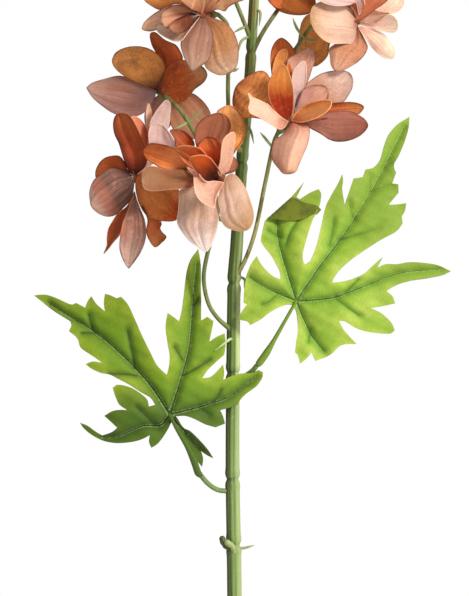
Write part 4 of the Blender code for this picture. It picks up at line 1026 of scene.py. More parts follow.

# %% [markdown]
# ## The petals
# Each petal of the seven flowers that the photograph shows has a row: the way from the flower's middle to the
# petal's tip (right, up and toward the viewer), its roll in degrees, how it cups across and curls along, and
# its dye. Behind those stand the touches that only some petals have:
#
# - shape: a keel folded along the middle, a twist in degrees, a bent tip, a lip curled over one edge, a hood
#   that pulls the claw toward the viewer, a bow sideways and a pointed tip
# - cloth: a print, a light rim (partly a pale edge, partly painted light), how far the claw's tone reaches
#   (the dip), how deep the middle is creased, and painted shade on one side
# - plain cut, where the petal has none of its own: its width, how it narrows, and how broad its claw is

# %% The seven flowers
FLOWERS = {
    "right": {"middle": (28, -20, 487.6), "faces": (0.55, -0.50, 0.67), "petals": [
        (-23.5, 16, 2, -20, -0.5, 0.3, "ochre", {"print": "pleated", "tip": -1.5}),
        (-19.5, 10, 17, 38, 0.5, -0.5, "peach", {"twist": 35, "rim": "light"}),
        (-3.6, 27.5, 12, -8, 0.35, -0.3, "amber",
         {"rim": "light", "dip": 0.8, "crease": 0, "painted_shade": (1, 0.3)}),
        (-1, 34, -4, 0, 0.3, 0.3, "honey", {"rim": "light", "crease": 0}),
        (-3.4, 38, -8, 0, 0.5, 0.2, "rust", {}),
        (10.8, 34.5, -5, 10, 0.5, 0.3, "rose", {"print": "speckled"}),
        (7.6, 27.5, 4, 50, 0.6, 0.3, "blush", {"rim": "light"}),
        (27.5, 21, -4, 0, 0.4, 0.3, "shell", {"print": "streaked"}),
        (16.5, 16, 2, 0, 0.5, 0.3, "rose", {"lip": (-1, 0.6)}),
        (19, 9, 11, -48, 0.9, 0.3, "honey", {"lip": (1, 1.2), "rim": "light"}),
        (34, 7.5, 2, -20, 0.6, 0.2, "copper", {"lip": (1, 1)}),
        (36.5, -4, 9, 5, -0.4, 0.3, "dusk", {"keel": 1.2, "painted_shade": (-1, 0.25)}),
        (0.4, -25.5, 19, 15, -0.5, -0.8, "salmon", {"keel": -2.2, "tip": -2, "painted_shade": (-1, 0.3)}),
        (0.6, 26.5, 8, 10, 0.2, 0.3, "amber", {"rim": "light"}),
    ]},
    "front": {"middle": (-1.8, -30, 461.4), "faces": (-0.22, -0.80, 0.55), "petals": [
        (-14.5, 9.5, 17, -30, 1, 0.5, "ember",
         {"lip": (1, 1.6), "rim": "light", "dip": 0.7, "painted_shade": (1, 0.95)}),
        (-12, -8.5, 19, 32, 0.8, -0.4, "peach", {"lip": (-1, 1.6), "rim": "light"}),
        (4.6, 21, 13, 52, 0.5, 0.3, "salmon", {"rim": "light"}),
        (9.5, -24.5, 10, 0, -0.5, 0.3, "tan", {"print": "veined", "rim": "light", "painted_shade": (1, 0.15)}),
        (-7.5, -33, 4, 5, -0.4, -0.2, "cream",
         {"keel": 0.8, "rim": "light", "print": "plain", "painted_shade": (1, 0.2), "bow": -3.5}),
        (-36, 2, 6, 40, -0.6, 0.4, "fawn", {"keel": -1.4, "rim": "light", "painted_shade": (1, 0.35)}),
        (-35, 13.5, 0, -30, 0.7, 0.3, "rust", {"lip": (-1, 1)}),
        (-19.5, 15.5, 6, -35, 0.6, 0.3, "brick", {"lip": (1, 0.8), "rim": "light"}),
        (-4, 20, 5, -10, 0.7, 0.4, "brick", {}),
        (-19.5, 23, -5, 0, 0.5, 0.3, "clay", {}),
        (0, 30.5, -3, 0, 0.5, 0.2, "umber", {}),
        (8, 33.5, -7, 0, 0.4, 0.2, "gold", {"print": "speckled", "bow": 2}),
        (8.5, 7, -3, 10, 0.4, 0.2, "umber", {}),
    ]},
    "low_left": {"middle": (-41.9, -16, 462.3), "faces": (-0.30, -0.90, 0.10), "petals": [
        (-6.5, 28, 6, -15, 0.6, -0.2, "russet", {"keel": 2.6, "print": "streaked", "painted_shade": (1, 0.8)}),
        (2, 28, -4, 45, 0.5, 0.2, "coral", {"rim": "light", "print": "streaked"}),
        (-17, 6, -3, -10, 0.5, 0.3, "russet", {}),
        (-18, -12, 7, 0, -0.5, 0.3, "mauve", {"print": "fanned"}),
        (-14.5, -34, -2, 45, 0.5, -0.3, "russet", {"twist": 30, "keel": 1, "rim": "light", "pointed": True}),
        (-2.8, -41.5, 4, 0, 0.5, -0.3, "taupe", {"print": "streaked", "pointed": True, "painted_shade": (1, 0.35)}),
        (17, -18, 5, 0, -0.6, 0.3, "sienna", {"print": "speckled"}),
        (12.5, -31, -6, -20, 0.5, -0.7, "copper", {"twist": 30, "tip": -3}),
        (10.5, 25.5, -1, 10, 0.4, 0.3, "blush", {"rim": "light"}),
        (15.5, 35.5, -6, 40, 0.4, 0.2, "blush", {"rim": "light"}),
        (6, 34, -9, 55, 0.4, 0.2, "peach", {"rim": "light"}),
    ]},
    "back_left": {"middle": (-31.3, 10, 503.2), "faces": (-0.50, 0.70, 0.50), "petals": [
        (-20.5, 15, 6, 0, -0.5, 0.3, "gold", {"print": "speckled", "hood": 8}),
        (-32, 0, 3, 0, -0.4, 0.3, "lilac",
         {"print": "streaked", "hood": 5, "pointed": True, "painted_shade": (1, 0.3)}),
        (1, 27, -3, 0, -0.4, 0.3, "russet", {}),
        (22.5, 4.5, 7, 0, -0.4, 0.3, "cinnamon", {"print": "speckled", "hood": 9.5}),
        (21.5, -17, -9, 0, 0.4, 0.3, "buff", {}),
        (2.5, -16, -8, 0, 0.4, 0.3, "lilac", {}),
        (-11, 20, -16, 0, 0.5, 0.3, "peach", {"width": 12, "narrow": 0.55}),
        (-15, 2, -18, 0, 0.5, 0.3, "amber", {"width": 12, "narrow": 0.55}),
    ]},
    "top_left": {"middle": (-10.1, -14, 536.8), "faces": (-0.78, -0.62, -0.05), "petals": [
        (11.5, -27, 3, 0, -0.4, 0.3, "straw", {"print": "speckled"}),
        (-5, -25.5, 9, 5, -0.4, 0.3, "dove", {"keel": 1}),
        (-27.5, -7, 0, 10, 0.4, 0.3, "peach", {}),
        (-16, -7.5, 13, 35, 0.9, 0.4, "chestnut", {"lip": (-1, 1.2)}),
        (-19.5, -3.5, 9, 5, 0.6, 0.4, "buff", {"keel": 1.5}),
        (-15, -12.5, 4, 20, 0.4, 0.3, "shell", {"lip": (1, 1), "rim": "light"}),
        (-27, 11, -3, 0, 0.4, 0.3, "honey", {}),
        (-11.5, 13, 16, 0, 0.6, -0.4, "apricot", {"print": "veined"}),
        (20.5, 9, 4, 0, 0.4, -0.3, "apricot", {}),
        (-7, 27, -2, 0, 0.4, 0.3, "rust", {"width": 15, "narrow": 0.5}),
        (6.5, 23, 5, 0, 0.5, 0.3, "clay", {"width": 14, "narrow": 0.5}),
    ]},
    "top_right": {"middle": (58.8, -16, 533.6), "faces": (0.97, -0.10, -0.08), "petals": [
        (-18, -9.5, 19, -12, -0.4, 0.4, "tan", {"print": "streaked", "rim": "light", "crease": 0}),
        (-5.5, -23, 5, 0, -0.4, 0.3, "buff", {"print": "speckled"}),
        (17.5, -18, 8, 0, -0.3, 0.3, "ivory", {"rim": "light", "crease": 0}),
        (19, -3, 7, 20, 0.5, 0.3, "ivory", {"rim": "light", "crease": 0}),
        (-16, 10.5, 18, 0, 0.4, -0.3, "blush", {"lip": (-1, 1.2), "rim": "light"}),
        (21.5, 8.5, 2, 0, 0.4, 0.3, "ivory", {"rim": "light"}),
        (11.5, 13.5, 9, 0, 0.6, 0.4, "coral", {"lip": (1, 1.2)}),
        (-24.5, -17, -25, 0, 0.3, 0.2, "gold", {"print": "speckled"}),
        (-9, 27.5, -3, 0, 0.4, 0.3, "clay", {"width": 15, "narrow": 0.5}),
        (8, 29, -6, 0, 0.4, 0.3, "tan", {"width": 15, "narrow": 0.5}),
        (16, 3, 8, 0, 0.4, 0.3, "peach", {"print": "streaked"}),
    ]},
    "top_middle": {"middle": (30.4, 6, 553), "faces": (0.25, -0.45, 0.85), "petals": [
        (3.5, -15.5, 12, 0, -0.4, 0.3, "bronze", {"print": "speckled"}),
        (-9, -11.5, 9, 0, -0.4, 0.3, "russet", {"width": 13, "narrow": 0.5, "claw": 0.8}),
        (19, -5, 10, 0, 0.4, 0.3, "clay", {"width": 15, "narrow": 0.5}),
        (-20, 8, 15, 0, 0.4, 0.3, "salmon", {"width": 14.5, "narrow": 0.5}),
        (21, 14, -2, 0, 0.4, 0.3, "rust", {"width": 15, "narrow": 0.5}),
        (-6, 26, 7, 0, 0.4, 0.4, "rose", {"width": 15, "narrow": 0.5}),
        (8, 24, 12, 0, 0.5, 0.4, "peach", {"width": 13, "narrow": 0.5}),
        (-14, 14, -14, 0, 0.4, 0.3, "tan", {"width": 14, "narrow": 0.5}),
    ]},
}

# %% [markdown]
# ## The cut of each petal
# The rows say how a petal stands. How it is cut is read off the photograph, six times enlarged: a few spots
# x,y round its edge, the first where it is held. A number is the petal's row in its flower. A petal that is
# hidden there keeps the plain cut of a formula.

# %% The corners of the enlargements, and spots round each petal that shows
ENLARGED = 6.0
CUT_CORNERS = {
    "right": (225, 55), "front": (135, 95), "low_left": (80, 85), "back_left": (75, 25), "top_left": (135, 0),
    "top_right": (255, 0), "top_middle": (255, 0),
}
CUTS = {
    "right": {
        0: """380,400 250,392 165,380 110,378 72,345 45,300 52,235 72,188 112,152 155,125 200,103 238,108
            266,142 330,270""",
        1: """378,402 345,385 300,350 262,308 215,285 165,262 136,239 148,290 138,325 148,358 180,375 230,400
            282,432 325,455 358,440""",
        2: """385,402 345,388 300,345 270,290 256,220 262,170 285,122 312,85 345,66 372,95 392,150 406,210
            410,290 404,350""",
        3: "388,395 330,320 290,200 282,110 298,30 325,-15 350,-30 372,-25 376,5 368,60 385,150 402,260",
        4: """388,395 330,300 290,180 275,80 273,15 281,-35 306,-80 340,-97 372,-80 405,-42 425,0 425,120
            410,280""",
        5: """395,395 392,250 385,120 370,42 418,5 468,-28 510,-38 534,-15 540,20 526,75 508,130 486,190
            450,280""",
        6: "400,388 408,320 402,240 397,170 403,115 428,80 468,44 485,75 487,140 478,210 455,285 428,340",
        7: """425,375 440,280 485,185 525,148 575,118 640,102 705,99 748,118 766,158 760,205 735,252 702,292
            640,300 540,350""",
        8: "418,375 425,320 450,250 480,205 530,186 585,188 612,208 619,250 605,290 540,340 470,370",
        9: "395,400 420,360 455,325 500,298 555,282 600,278 632,288 630,318 605,350 560,380 505,402 450,413",
        10: """420,395 480,350 560,310 632,298 700,291 755,290 803,300 828,320 812,348 793,362 720,370 600,390
            500,400""",
        11: """425,408 520,370 610,350 690,343 745,345 795,366 835,395 851,430 838,462 795,498 735,520 670,525
            620,512 580,485 540,462 480,430""",
        12: """405,405 375,445 335,492 298,515 283,565 276,612 290,650 320,688 348,717 390,720 425,705 440,668
            466,608 490,550 503,490 502,445 470,420""",
        13: "398,390 388,300 382,200 374,120 369,75 381,56 396,80 404,140 409,220 411,320",
    },
    "front": {
        0: "538,538 508,460 480,418 450,385 412,371 372,373 330,388 345,440 380,490 425,530 480,548",
        1: """535,532 480,522 430,525 400,500 378,470 345,455 308,430 330,465 355,490 356,545 362,595 388,638
            430,670 476,686 484,640 498,598 522,560""",
        2: """525,520 498,465 512,405 518,340 527,285 555,252 586,234 601,240 600,280 592,335 585,392 568,445
            545,485""",
        3: """540,500 582,478 622,505 662,562 690,635 711,712 706,768 682,808 640,822 590,816 545,796 516,752
            510,690 500,640 510,585 528,540""",
        4: """500,545 400,540 345,560 272,575 266,640 262,700 254,762 282,822 330,882 382,922 428,942 456,910
            476,868 492,818 503,760 503,700 500,630""",
        5: """400,500 345,470 300,430 268,436 238,450 200,455 155,444 110,434 72,440 50,478 49,525 60,568
            100,582 160,580 222,574 285,570 345,560""",
        6: """440,480 330,400 250,335 205,315 150,302 100,298 65,315 53,345 65,382 100,410 150,440 200,455
            245,450 300,445 380,470""",
        7: "450,470 440,390 415,350 388,328 340,315 290,312 246,330 270,372 300,410 360,450",
        8: "490,470 420,400 390,350 378,315 400,280 432,261 472,262 507,287 521,330 515,395 503,450",
        9: "450,460 370,370 258,325 238,270 212,222 250,211 292,222 330,250 356,292 362,330 420,400",
        10: """490,460 400,380 370,315 358,255 368,200 400,158 450,126 500,117 545,130 570,165 573,212 552,262
            530,330 515,400""",
        11: """530,470 540,330 520,200 490,115 520,85 560,69 595,80 635,115 660,170 666,225 650,280 625,318
            600,348 570,400""",
        12: "540,480 560,400 585,375 610,395 617,428 602,460 575,475",
    },
    "low_left": {
        0: """332,545 300,520 270,460 252,400 236,350 212,300 204,245 213,200 238,178 272,178 305,200 340,255
            375,330 405,410 400,480 365,520""",
        1: "345,540 330,400 310,260 303,205 335,192 370,215 398,255 412,300 415,360 405,440 380,510",
        2: "330,545 240,570 150,570 100,562 98,520 116,475 152,441 200,427 240,430 266,462 292,512",
        3: """332,560 290,530 232,510 182,503 138,532 90,570 66,620 60,672 74,730 110,770 160,792 212,785
            255,748 298,705 320,660""",
        4: """328,660 285,730 235,765 200,815 175,860 165,915 163,965 145,1014 175,985 205,945 248,895 262,840
            285,780""",
        5: """330,640 305,700 280,765 258,832 246,900 241,975 255,1032 278,1080 297,1103 332,1058 370,1000
            394,940 400,880 390,810 365,745 345,690""",
        6: """335,560 337,640 358,720 395,778 432,808 500,820 562,819 596,795 608,742 600,680 588,625 520,570
            430,530 375,520""",
        7: "360,700 405,800 400,870 412,925 450,972 490,950 521,913 495,885 482,860 490,825 440,760",
        8: "345,540 420,420 414,350 412,290 430,240 465,234 502,248 540,292 568,340 590,390 500,440",
        9: "360,520 405,380 418,250 440,195 475,140 520,93 545,118 541,180 533,255 480,370",
        10: "350,530 385,380 398,250 397,170 410,112 428,150 430,190 418,260 390,400",
    },
    "back_left": {
        0: """485,386 510,350 535,290 541,245 512,190 470,153 420,131 350,125 290,138 242,168 220,213 242,262
            300,308 370,345 432,370""",
        1: """490,392 420,362 350,330 290,303 240,302 172,320 102,344 66,375 100,430 160,482 220,522 280,546
            340,550 400,531 445,490 475,440""",
        2: "500,380 520,240 480,155 458,110 448,50 478,38 540,85 600,110 630,150 645,200 590,260",
        3: """490,385 520,320 545,262 575,225 620,205 690,215 750,240 782,270 793,305 770,345 718,385 695,415
            650,455 605,470 555,450 515,415""",
        4: "510,410 565,470 565,560 600,640 680,680 760,660 810,590 815,535 797,490 755,440 700,405 600,400",
        5: "505,410 440,470 415,540 430,620 500,640 570,600 575,500 560,440",
    },
    "top_left": {
        0: """405,92 440,105 500,125 552,150 592,200 616,262 622,325 612,400 578,440 520,458 462,440 420,400
            410,300 400,180""",
        1: """398,105 440,145 466,195 472,250 458,325 438,372 400,402 350,434 318,400 292,342 275,280 285,232
            330,175""",
        2: "395,90 300,40 200,45 145,70 95,105 58,140 45,180 90,194 132,186 200,180 300,140",
        3: "400,88 345,88 282,110 232,138 205,172 218,198 258,210 295,205 330,170 372,125",
        4: "398,88 340,62 262,37 210,50 170,80 156,120 168,158 205,185 270,170 340,120",
        5: "395,100 300,150 200,165 150,155 133,182 150,208 192,235 240,255 282,250 310,215 350,160",
        6: "395,80 330,0 200,-60 100,-70 45,-40 55,5 100,42 150,64 205,45 260,30",
        7: """408,90 380,80 330,60 285,25 250,-10 220,-70 240,-140 300,-180 370,-170 420,-120 445,-40 440,30
            425,70""",
        8: "412,88 450,78 500,64 540,76 562,50 615,22 665,0 690,-60 640,-110 560,-110 480,-60 430,20",
    },
    "top_right": {
        0: """612,140 590,90 555,52 480,30 400,20 345,50 328,105 338,170 380,230 432,265 482,273 545,268
            600,274 606,235 602,190""",
        1: """612,150 560,220 470,275 443,300 446,350 455,405 482,432 522,430 565,410 612,380 652,338 672,290
            652,240 628,190""",
        2: """608,158 640,165 700,180 752,202 792,232 822,282 836,322 828,354 790,362 748,345 700,298 655,238
            630,195""",
        3: "612,152 660,148 715,140 762,115 800,95 838,115 851,158 845,195 815,206 770,200 720,185 665,165",
        4: "620,100 655,42 648,0 640,-60 560,-110 450,-110 375,-60 365,-5 385,22 435,42 500,49 560,41 600,27",
        5: "615,140 700,80 770,30 820,-20 870,-25 892,20 885,50 855,78 815,92 750,110 680,130",
        6: "612,135 590,70 560,20 600,-60 680,-90 760,-60 800,-5 760,40 715,70 660,110",
        7: """560,150 440,90 330,85 285,120 268,180 258,250 246,320 270,370 350,398 402,374 438,330 447,270
            480,220""",
        10: "612,145 600,100 600,68 650,62 715,72 770,85 800,92 760,118 715,142 660,150",
    },
    "top_middle": {
        0: "225,-110 130,-60 88,-5 108,38 158,74 228,91 300,90 345,70 365,30 350,-30 300,-80",
    },
}


# %% [markdown]
# Above the photograph's edge the spray is a guess, and rules give it instead of rows: flowers stand in a
# spiral at the golden angle, as a real spike's do, and grow smaller and more closed towards the tip.

# %% The flowers above those
SPIRAL_COUNT = 12
SPIRAL_HEIGHTS = (576.0, 742.0)
SPIRAL_REACH = (34.0, 12.5)
SPIRAL_PETAL = (28.0, 12.5)
SPIRAL_OPEN = (72.0, 28.0)
SPIRAL_START = math.radians(205.0)
SPIRAL_CROWDING = 0.9
SPIRAL_NOD = (0.15, 0.9)
GOLDEN_ANGLE = math.radians(137.5)
DOUBLE_PETALS, SINGLE_PETALS = 5, 4
WHORL_WIDEST, WHORL_FILL = 0.6, 4.2
WHORL_TURN, INNER_WHORL_TURN = 1.1, 0.6
INNER_WHORL_BELOW = 0.6
INNER_WHORL_PETALS = 3
INNER_WHORL_REACH = 0.7
INNER_WHORL_WIDTH = 0.42
INNER_WHORL_OPEN = 0.55
WHORL_UNEVEN, WHORL_UNEVEN_TURN = 0.06, 2.3
WHORL_TILT = 0.2
WHORL_CUP = 0.55
WHORL_CURL = 0.45
WHORL_NARROW = 0.58
SPIRAL_DYES = ("rust", "salmon", "ochre", "rose", "coral", "peach", "dusk", "tan")
KNOB_LENGTH = 6.0
KNOB_RADIUS = 2.8
PETAL_START = 0.34
PETAL_START_SHIFT = 0.08
NO_TOUCHES = {
    "keel": 0.0, "twist": 0.0, "tip": 0.0, "lip": (1, 0.0), "claw": 0.4, "hood": 0.0, "bow": 0.0,
    "print": "plain", "rim": "dark", "dip": 0.42, "crease": 0.15, "painted_shade": (1, 0.0), "pointed": False,
    "cut": None,
}
WHORL_TOUCHES = (
    {"print": "speckled", "lip": (1, 0.8)}, {"keel": 1.0}, {"tip": -1.2, "print": "streaked"},
    {"lip": (-1, 1.0), "twist": 14}, {"keel": -0.8, "print": "veined"},
)


def petal_from(middle, facing, tip, face, cup, curl, dye, touches):
    """A petal's own axes and sizes. It starts behind or before the middle, as its tip points."""
    facing, tip = unit(facing), np.asarray(tip, float)
    start = facing * KNOB_LENGTH * (PETAL_START + PETAL_START_SHIFT * float(unit(tip) @ facing))
    along = unit(tip - start)
    face = unit(face - along * (face @ along))
    return {
        "base": np.asarray(middle, float) + start,
        "along": along, "face": face, "side": np.cross(face, along),
        "length": float(np.linalg.norm(tip - start)),
        "cup": cup, "curl": curl, "dye": dye, **NO_TOUCHES, **touches,
    }


def on_photo(corner, text):
    """From an enlargement's spots to millimetres right and up."""
    pixels = np.asarray(corner) + spots_in(text) / ENLARGED
    middle = np.array(PHOTO_SIZE) / 2
    return np.asarray(VIEW_MIDDLE) + (pixels - middle) * (PIXEL, -PIXEL)


def shown_petals(key, flower):
    """The petals of a flower that the photograph shows."""
    made = []
    for row, (right, up, toward, roll, cup, curl, dye, touches) in enumerate(flower["petals"]):
        tip = np.array([right, -toward, up], float)
        along = unit(tip)
        flat = unit(np.array([0.0, -1.0, 0.0]) + along * along[1])
        turn = math.radians(roll)
        face = math.cos(turn) * flat + math.sin(turn) * np.cross(along, flat)
        if row in CUTS.get(key, {}):
            touches = {**touches, "cut": on_photo(CUT_CORNERS[key], CUTS[key][row])}
        made.append(petal_from(flower["middle"], flower["faces"], tip, face, cup, curl, dye, touches))
    return made


def whorl(middle, facing, count, reach, width, open_angle, phase, dyes):
    """A ring of petals; at an open_angle of a quarter turn it is flat."""
    across = unit(np.cross(facing, (0.0, 0.0, 1.0)))
    upward = np.cross(facing, across)
    made = []
    for k in range(count):
        angle = phase + math.tau * k / count
        outward = math.cos(angle) * across + math.sin(angle) * upward
        length = reach * (1.0 + WHORL_UNEVEN * math.sin(WHORL_UNEVEN_TURN * k + phase))
        tip = length * (math.sin(open_angle) * outward + math.cos(open_angle) * facing)
        face, dye = facing - outward * WHORL_TILT, dyes[k % len(dyes)]
        touches = WHORL_TOUCHES[(k + count) % len(WHORL_TOUCHES)]
        touches = {**touches, "width": width, "narrow": WHORL_NARROW}
        made.append(petal_from(middle, facing, tip, face, WHORL_CUP, WHORL_CURL, dye, touches))
    return made


def spiral_flowers():
    """The flowers above the seven: middle, way out from the stem, facing and petals."""
    made = []
    for k in range(SPIRAL_COUNT):
        share = k / (SPIRAL_COUNT - 1)
        angle = SPIRAL_START + GOLDEN_ANGLE * k
        outward = np.array([math.cos(angle), math.sin(angle), 0.0])
        height = np.interp(share**SPIRAL_CROWDING, (0, 1), SPIRAL_HEIGHTS)
        reach = np.interp(share, (0, 1), SPIRAL_PETAL)
        open_angle = math.radians(np.interp(share, (0, 1), SPIRAL_OPEN))
        middle = stem_at(height) + outward * np.interp(share, (0, 1), SPIRAL_REACH)
        facing = unit(outward + np.array([0.0, 0.0, np.interp(share, (0, 1), SPIRAL_NOD)]))
        double = share < INNER_WHORL_BELOW
        count = DOUBLE_PETALS if double else SINGLE_PETALS
        width = reach * min(WHORL_WIDEST, WHORL_FILL * math.sin(open_angle) / count)
        dyes = [SPIRAL_DYES[(k * 3 + step) % len(SPIRAL_DYES)] for step in (0, 1, 3)]
        phase = k * WHORL_TURN
        petals = whorl(middle, facing, count, reach, width, open_angle, phase, dyes)
        if double:
            sizes = (reach * INNER_WHORL_REACH, reach * INNER_WHORL_WIDTH, open_angle * INNER_WHORL_OPEN)
            phase += INNER_WHORL_TURN
            petals += whorl(middle, facing, INNER_WHORL_PETALS, *sizes, phase, dyes[::-1])
        made.append({"middle": middle, "outward": outward, "facing": facing, "petals": petals})
    return made


SPIRAL = spiral_flowers()

# %% [markdown]
# ## From a row to a sheet of cloth
# A petal is a grid of points, from its claw to its tip and from edge to edge. The formula gives its broad
# shape. Cloth also has folds that fan out from the claw, an edge that flutters, and a cut that is never
# quite even, so each petal gets its own from a fixed seed. In the formulas u runs from the claw, 0, to the
# tip, 1, and v from one edge, -1, to the other, 1.

# %% The cut of one petal
CUT_STEPS = 6
PLAIN_WIDEST = 0.57
UNEVEN_CUT = 0.085


def cut_edges(petal, u):
    """The two edges of a petal with its own cut, at the shares u of their lengths, and its whole outline."""
    cut = petal["cut"]
    tip = int(np.argmax(np.linalg.norm(cut - cut[0], axis=1)))
    if petal["pointed"]:
        sides = [smooth_line(cut[: tip + 1], CUT_STEPS), smooth_line([*cut[tip:], cut[0]], CUT_STEPS)]
    else:
        whole = smooth_line([*cut, cut[0]], CUT_STEPS)
        sides = [whole[: tip * CUT_STEPS + 1], whole[tip * CUT_STEPS :]]
    edges = []
    for side in (sides[0], sides[1][::-1]):
        lengths = np.concatenate([[0.0], np.cumsum(np.linalg.norm(np.diff(side, axis=0), axis=1))])
        edges.append(np.stack([np.interp(u * lengths[-1], lengths, side[:, k]) for k in (0, 1)], -1))
    left = petal["side"][[0, 2]]
    if ((edges[0] - edges[1]) @ left).sum() > 0:
        edges.reverse()
    return edges, np.concatenate([sides[0], sides[1][1:]])


def plain_half(petal, u, v, phases):
    """Half the width of the plain cut, which is a little uneven."""
    widest = math.log(0.5) / math.log(PLAIN_WIDEST)
    power = petal["narrow"] * (1 - petal["claw"] * (1 - u) ** 2)
    half = petal["width"] / 2 * np.abs(np.sin(math.pi * u**widest)) ** power
    uneven = sum(np.sin(u * (4 + 5 * k) + phases[k] + phases[k + 3] * (v > 0)) / (k + 1) for k in range(3))
    return half * (1 + UNEVEN_CUT * uneven * np.abs(v))


# %% What lifts the cloth
FULL_LENGTH = 24.0
FOLD_DEPTH = {"pleated": 0.3, "fanned": 0.3, "plain": 0.2}
USUAL_FOLD = 0.23
CALM_FOLD = 0.08
FLUTTER = 0.55
MIDDLE_CREASE_WIDTH = 0.9
TIP_FROM, TIP_PART, TIP_CHANCE = 0.8, 0.2, (-0.6, 0.8)


def away_from_ends(u):
    """1 in the middle of a petal and 0 at its claw and its tip."""
    return np.sin(math.pi * u) ** 0.7


def reliefs(petal, u, v, half, phases, random):
    """What lifts the cloth: its folds, a flutter, the crease, a bent tip and the keel."""
    size, body = min(1.0, petal["length"] / FULL_LENGTH), away_from_ends(u)
    fold = FOLD_DEPTH.get(petal["print"], USUAL_FOLD) if petal["crease"] else CALM_FOLD
    waves = sum(np.sin(v * (4.0 + 4.5 * k) + phases[6 + k] + 1.2 * u) / (1 + 0.6 * k) for k in range(4))
    flutter = np.sin(u * (9 + 4 * phases[10] / math.tau) + phases[11] + 2 * v)
    crease = np.exp(-((v * half / MIDDLE_CREASE_WIDTH) ** 2))
    tip = petal["tip"] + size * random.uniform(*TIP_CHANCE)
    return (
        fold * size * waves * body,
        FLUTTER * size * np.abs(v) ** 3 * flutter * body,
        -petal["crease"] * size * crease * body,
        ramp(u, TIP_FROM, TIP_PART) ** 2 * tip,
        -petal["keel"] * (1 - np.abs(v)) * body,
    )


# %% The sheet of one petal
LIP_FROM, LIP_PART, LIP_DRAW = 0.6, 0.4, 0.55
TWIST_FROM = 0.3
HOOD_TO = 0.75
RIM_WIDTH = 0.9
PRINTS = ("speckled", "streaked", "veined", "pleated", "fanned")


def on_cut(petal, near, far, v, raised):
    """A petal with its own cut: seen where the photograph shows it, and as deep as its face slopes."""
    share = (v[..., None] + 1) / 2
    seen = near[:, None] * (1 - share) + far[:, None] * share
    offset = (seen - petal["base"][[0, 2]]) @ petal["face"][[0, 2]]
    deep = petal["base"][1] - offset / petal["face"][1] + np.sign(petal["face"][1]) * raised
    return np.stack([seen[..., 0], deep, seen[..., 1]], -1)


def petal_values(petal, u, v, across, along, edge, random):
    """What the finish reads at each point of a petal."""
    u, v = u + 0.0 * v, v + 0.0 * u
    painted_shade_side, painted_shade = petal["painted_shade"]
    return {
        "petal": np.stack([v, u, np.full(u.shape, random.uniform(0, 50))], -1),
        "cloth": np.stack([across, along, np.full(u.shape, random.uniform(0, 500))], -1),
        "edge": np.exp(-edge / RIM_WIDTH),
        "light_rim": np.full(u.shape, float(petal["rim"] == "light")),
        "dip": np.full(u.shape, petal["dip"]),
        # Painted shade along one side of the petal.
        "painted_shade": painted_shade * ramp(painted_shade_side * v, -0.4, 1.4) ** 1.3,
        **{name: np.full(u.shape, float(petal["print"] == name)) for name in PRINTS},
    }


def petal_grid(petal, rows, columns, random):
    """The points of a petal's sheet, with the claw and the tip as single points, and their values."""
    share = np.linspace(0, 1, rows)[:, None]
    u = (share + (1 - np.cos(math.pi * share)) / 2) / 2
    v = np.linspace(-1, 1, columns)[None, :]
    phases = random.uniform(0, math.tau, 12)
    if petal["cut"] is None:
        half = plain_half(petal, u, v, phases)
    else:
        (near, far), outline = cut_edges(petal, u[:, 0])
        half = np.linalg.norm(far - near, axis=1)[:, None] / 2 / np.linalg.norm(petal["side"][[0, 2]])
    bend, cup = petal["curl"] / 2, petal["cup"]
    turn, radius = petal["curl"] * (u - 0.5), petal["length"] / (2 * math.sin(bend))
    along = radius * (np.sin(turn) + math.sin(bend)) + 0.0 * v
    lift = radius * (math.cos(bend) - np.cos(turn)) + half * cup * v**2 / 2
    across = half * v * (1 - (cup * v) ** 2 / 6) + petal["bow"] * np.sin(math.pi * u)
    for layer in reliefs(petal, u, v, half, phases, random):
        lift = lift + layer
    lip_side, lip = petal["lip"]
    curled = ramp(lip_side * v, LIP_FROM, LIP_PART) ** 2 * away_from_ends(u)
    lift = lift + lip * curled
    across = across - LIP_DRAW * lip_side * lip * curled
    turn = np.radians(petal["twist"]) * (u - TWIST_FROM)
    if petal["cut"] is None:
        cos, sin = np.cos(turn)[..., None], np.sin(turn)[..., None]
        side, face = cos * petal["side"] + sin * petal["face"], cos * petal["face"] - sin * petal["side"]
        points = petal["base"] + along[..., None] * petal["along"] + across[..., None] * side
        points = points + lift[..., None] * face
        edge = np.minimum(half * (1 - np.abs(v)), petal["length"] * (1 - u))
    else:
        points = on_cut(petal, near, far, v, lift + half * v * np.sin(turn))
        edge = distance_to([outline], points[..., [0, 2]].reshape(-1, 2))[0].reshape(rows, columns)
    points[..., 1] -= petal["hood"] * (1 - np.minimum(u, HOOD_TO) / HOOD_TO) ** 1.5
    return points, petal_values(petal, u, v, across, along, edge, random)


# %% From a grid to triangles
def merged_ends(grid):
    """The rows of a grid as one list, with its first and its last row as one point each."""
    flat = grid[1:-1].reshape(-1, *grid.shape[2:])
    middle = grid.shape[1] // 2
    return np.concatenate([grid[:1, middle], flat, grid[-1:, middle]])


def sheet_triangles(rows, columns):
    """Triangles of a grid whose first and last rows are single points."""
    made = []
    last = (rows - 2) * columns + 1
    for k in range(columns - 1):
        made += [(0, 1 + k, 2 + k), (last, last - columns + k + 1, last - columns + k)]
        for row in range(rows - 3):
            a = 1 + row * columns + k
            made += [(a, a + columns, a + 1), (a + 1, a + columns, a + columns + 1)]
    return np.array(made)
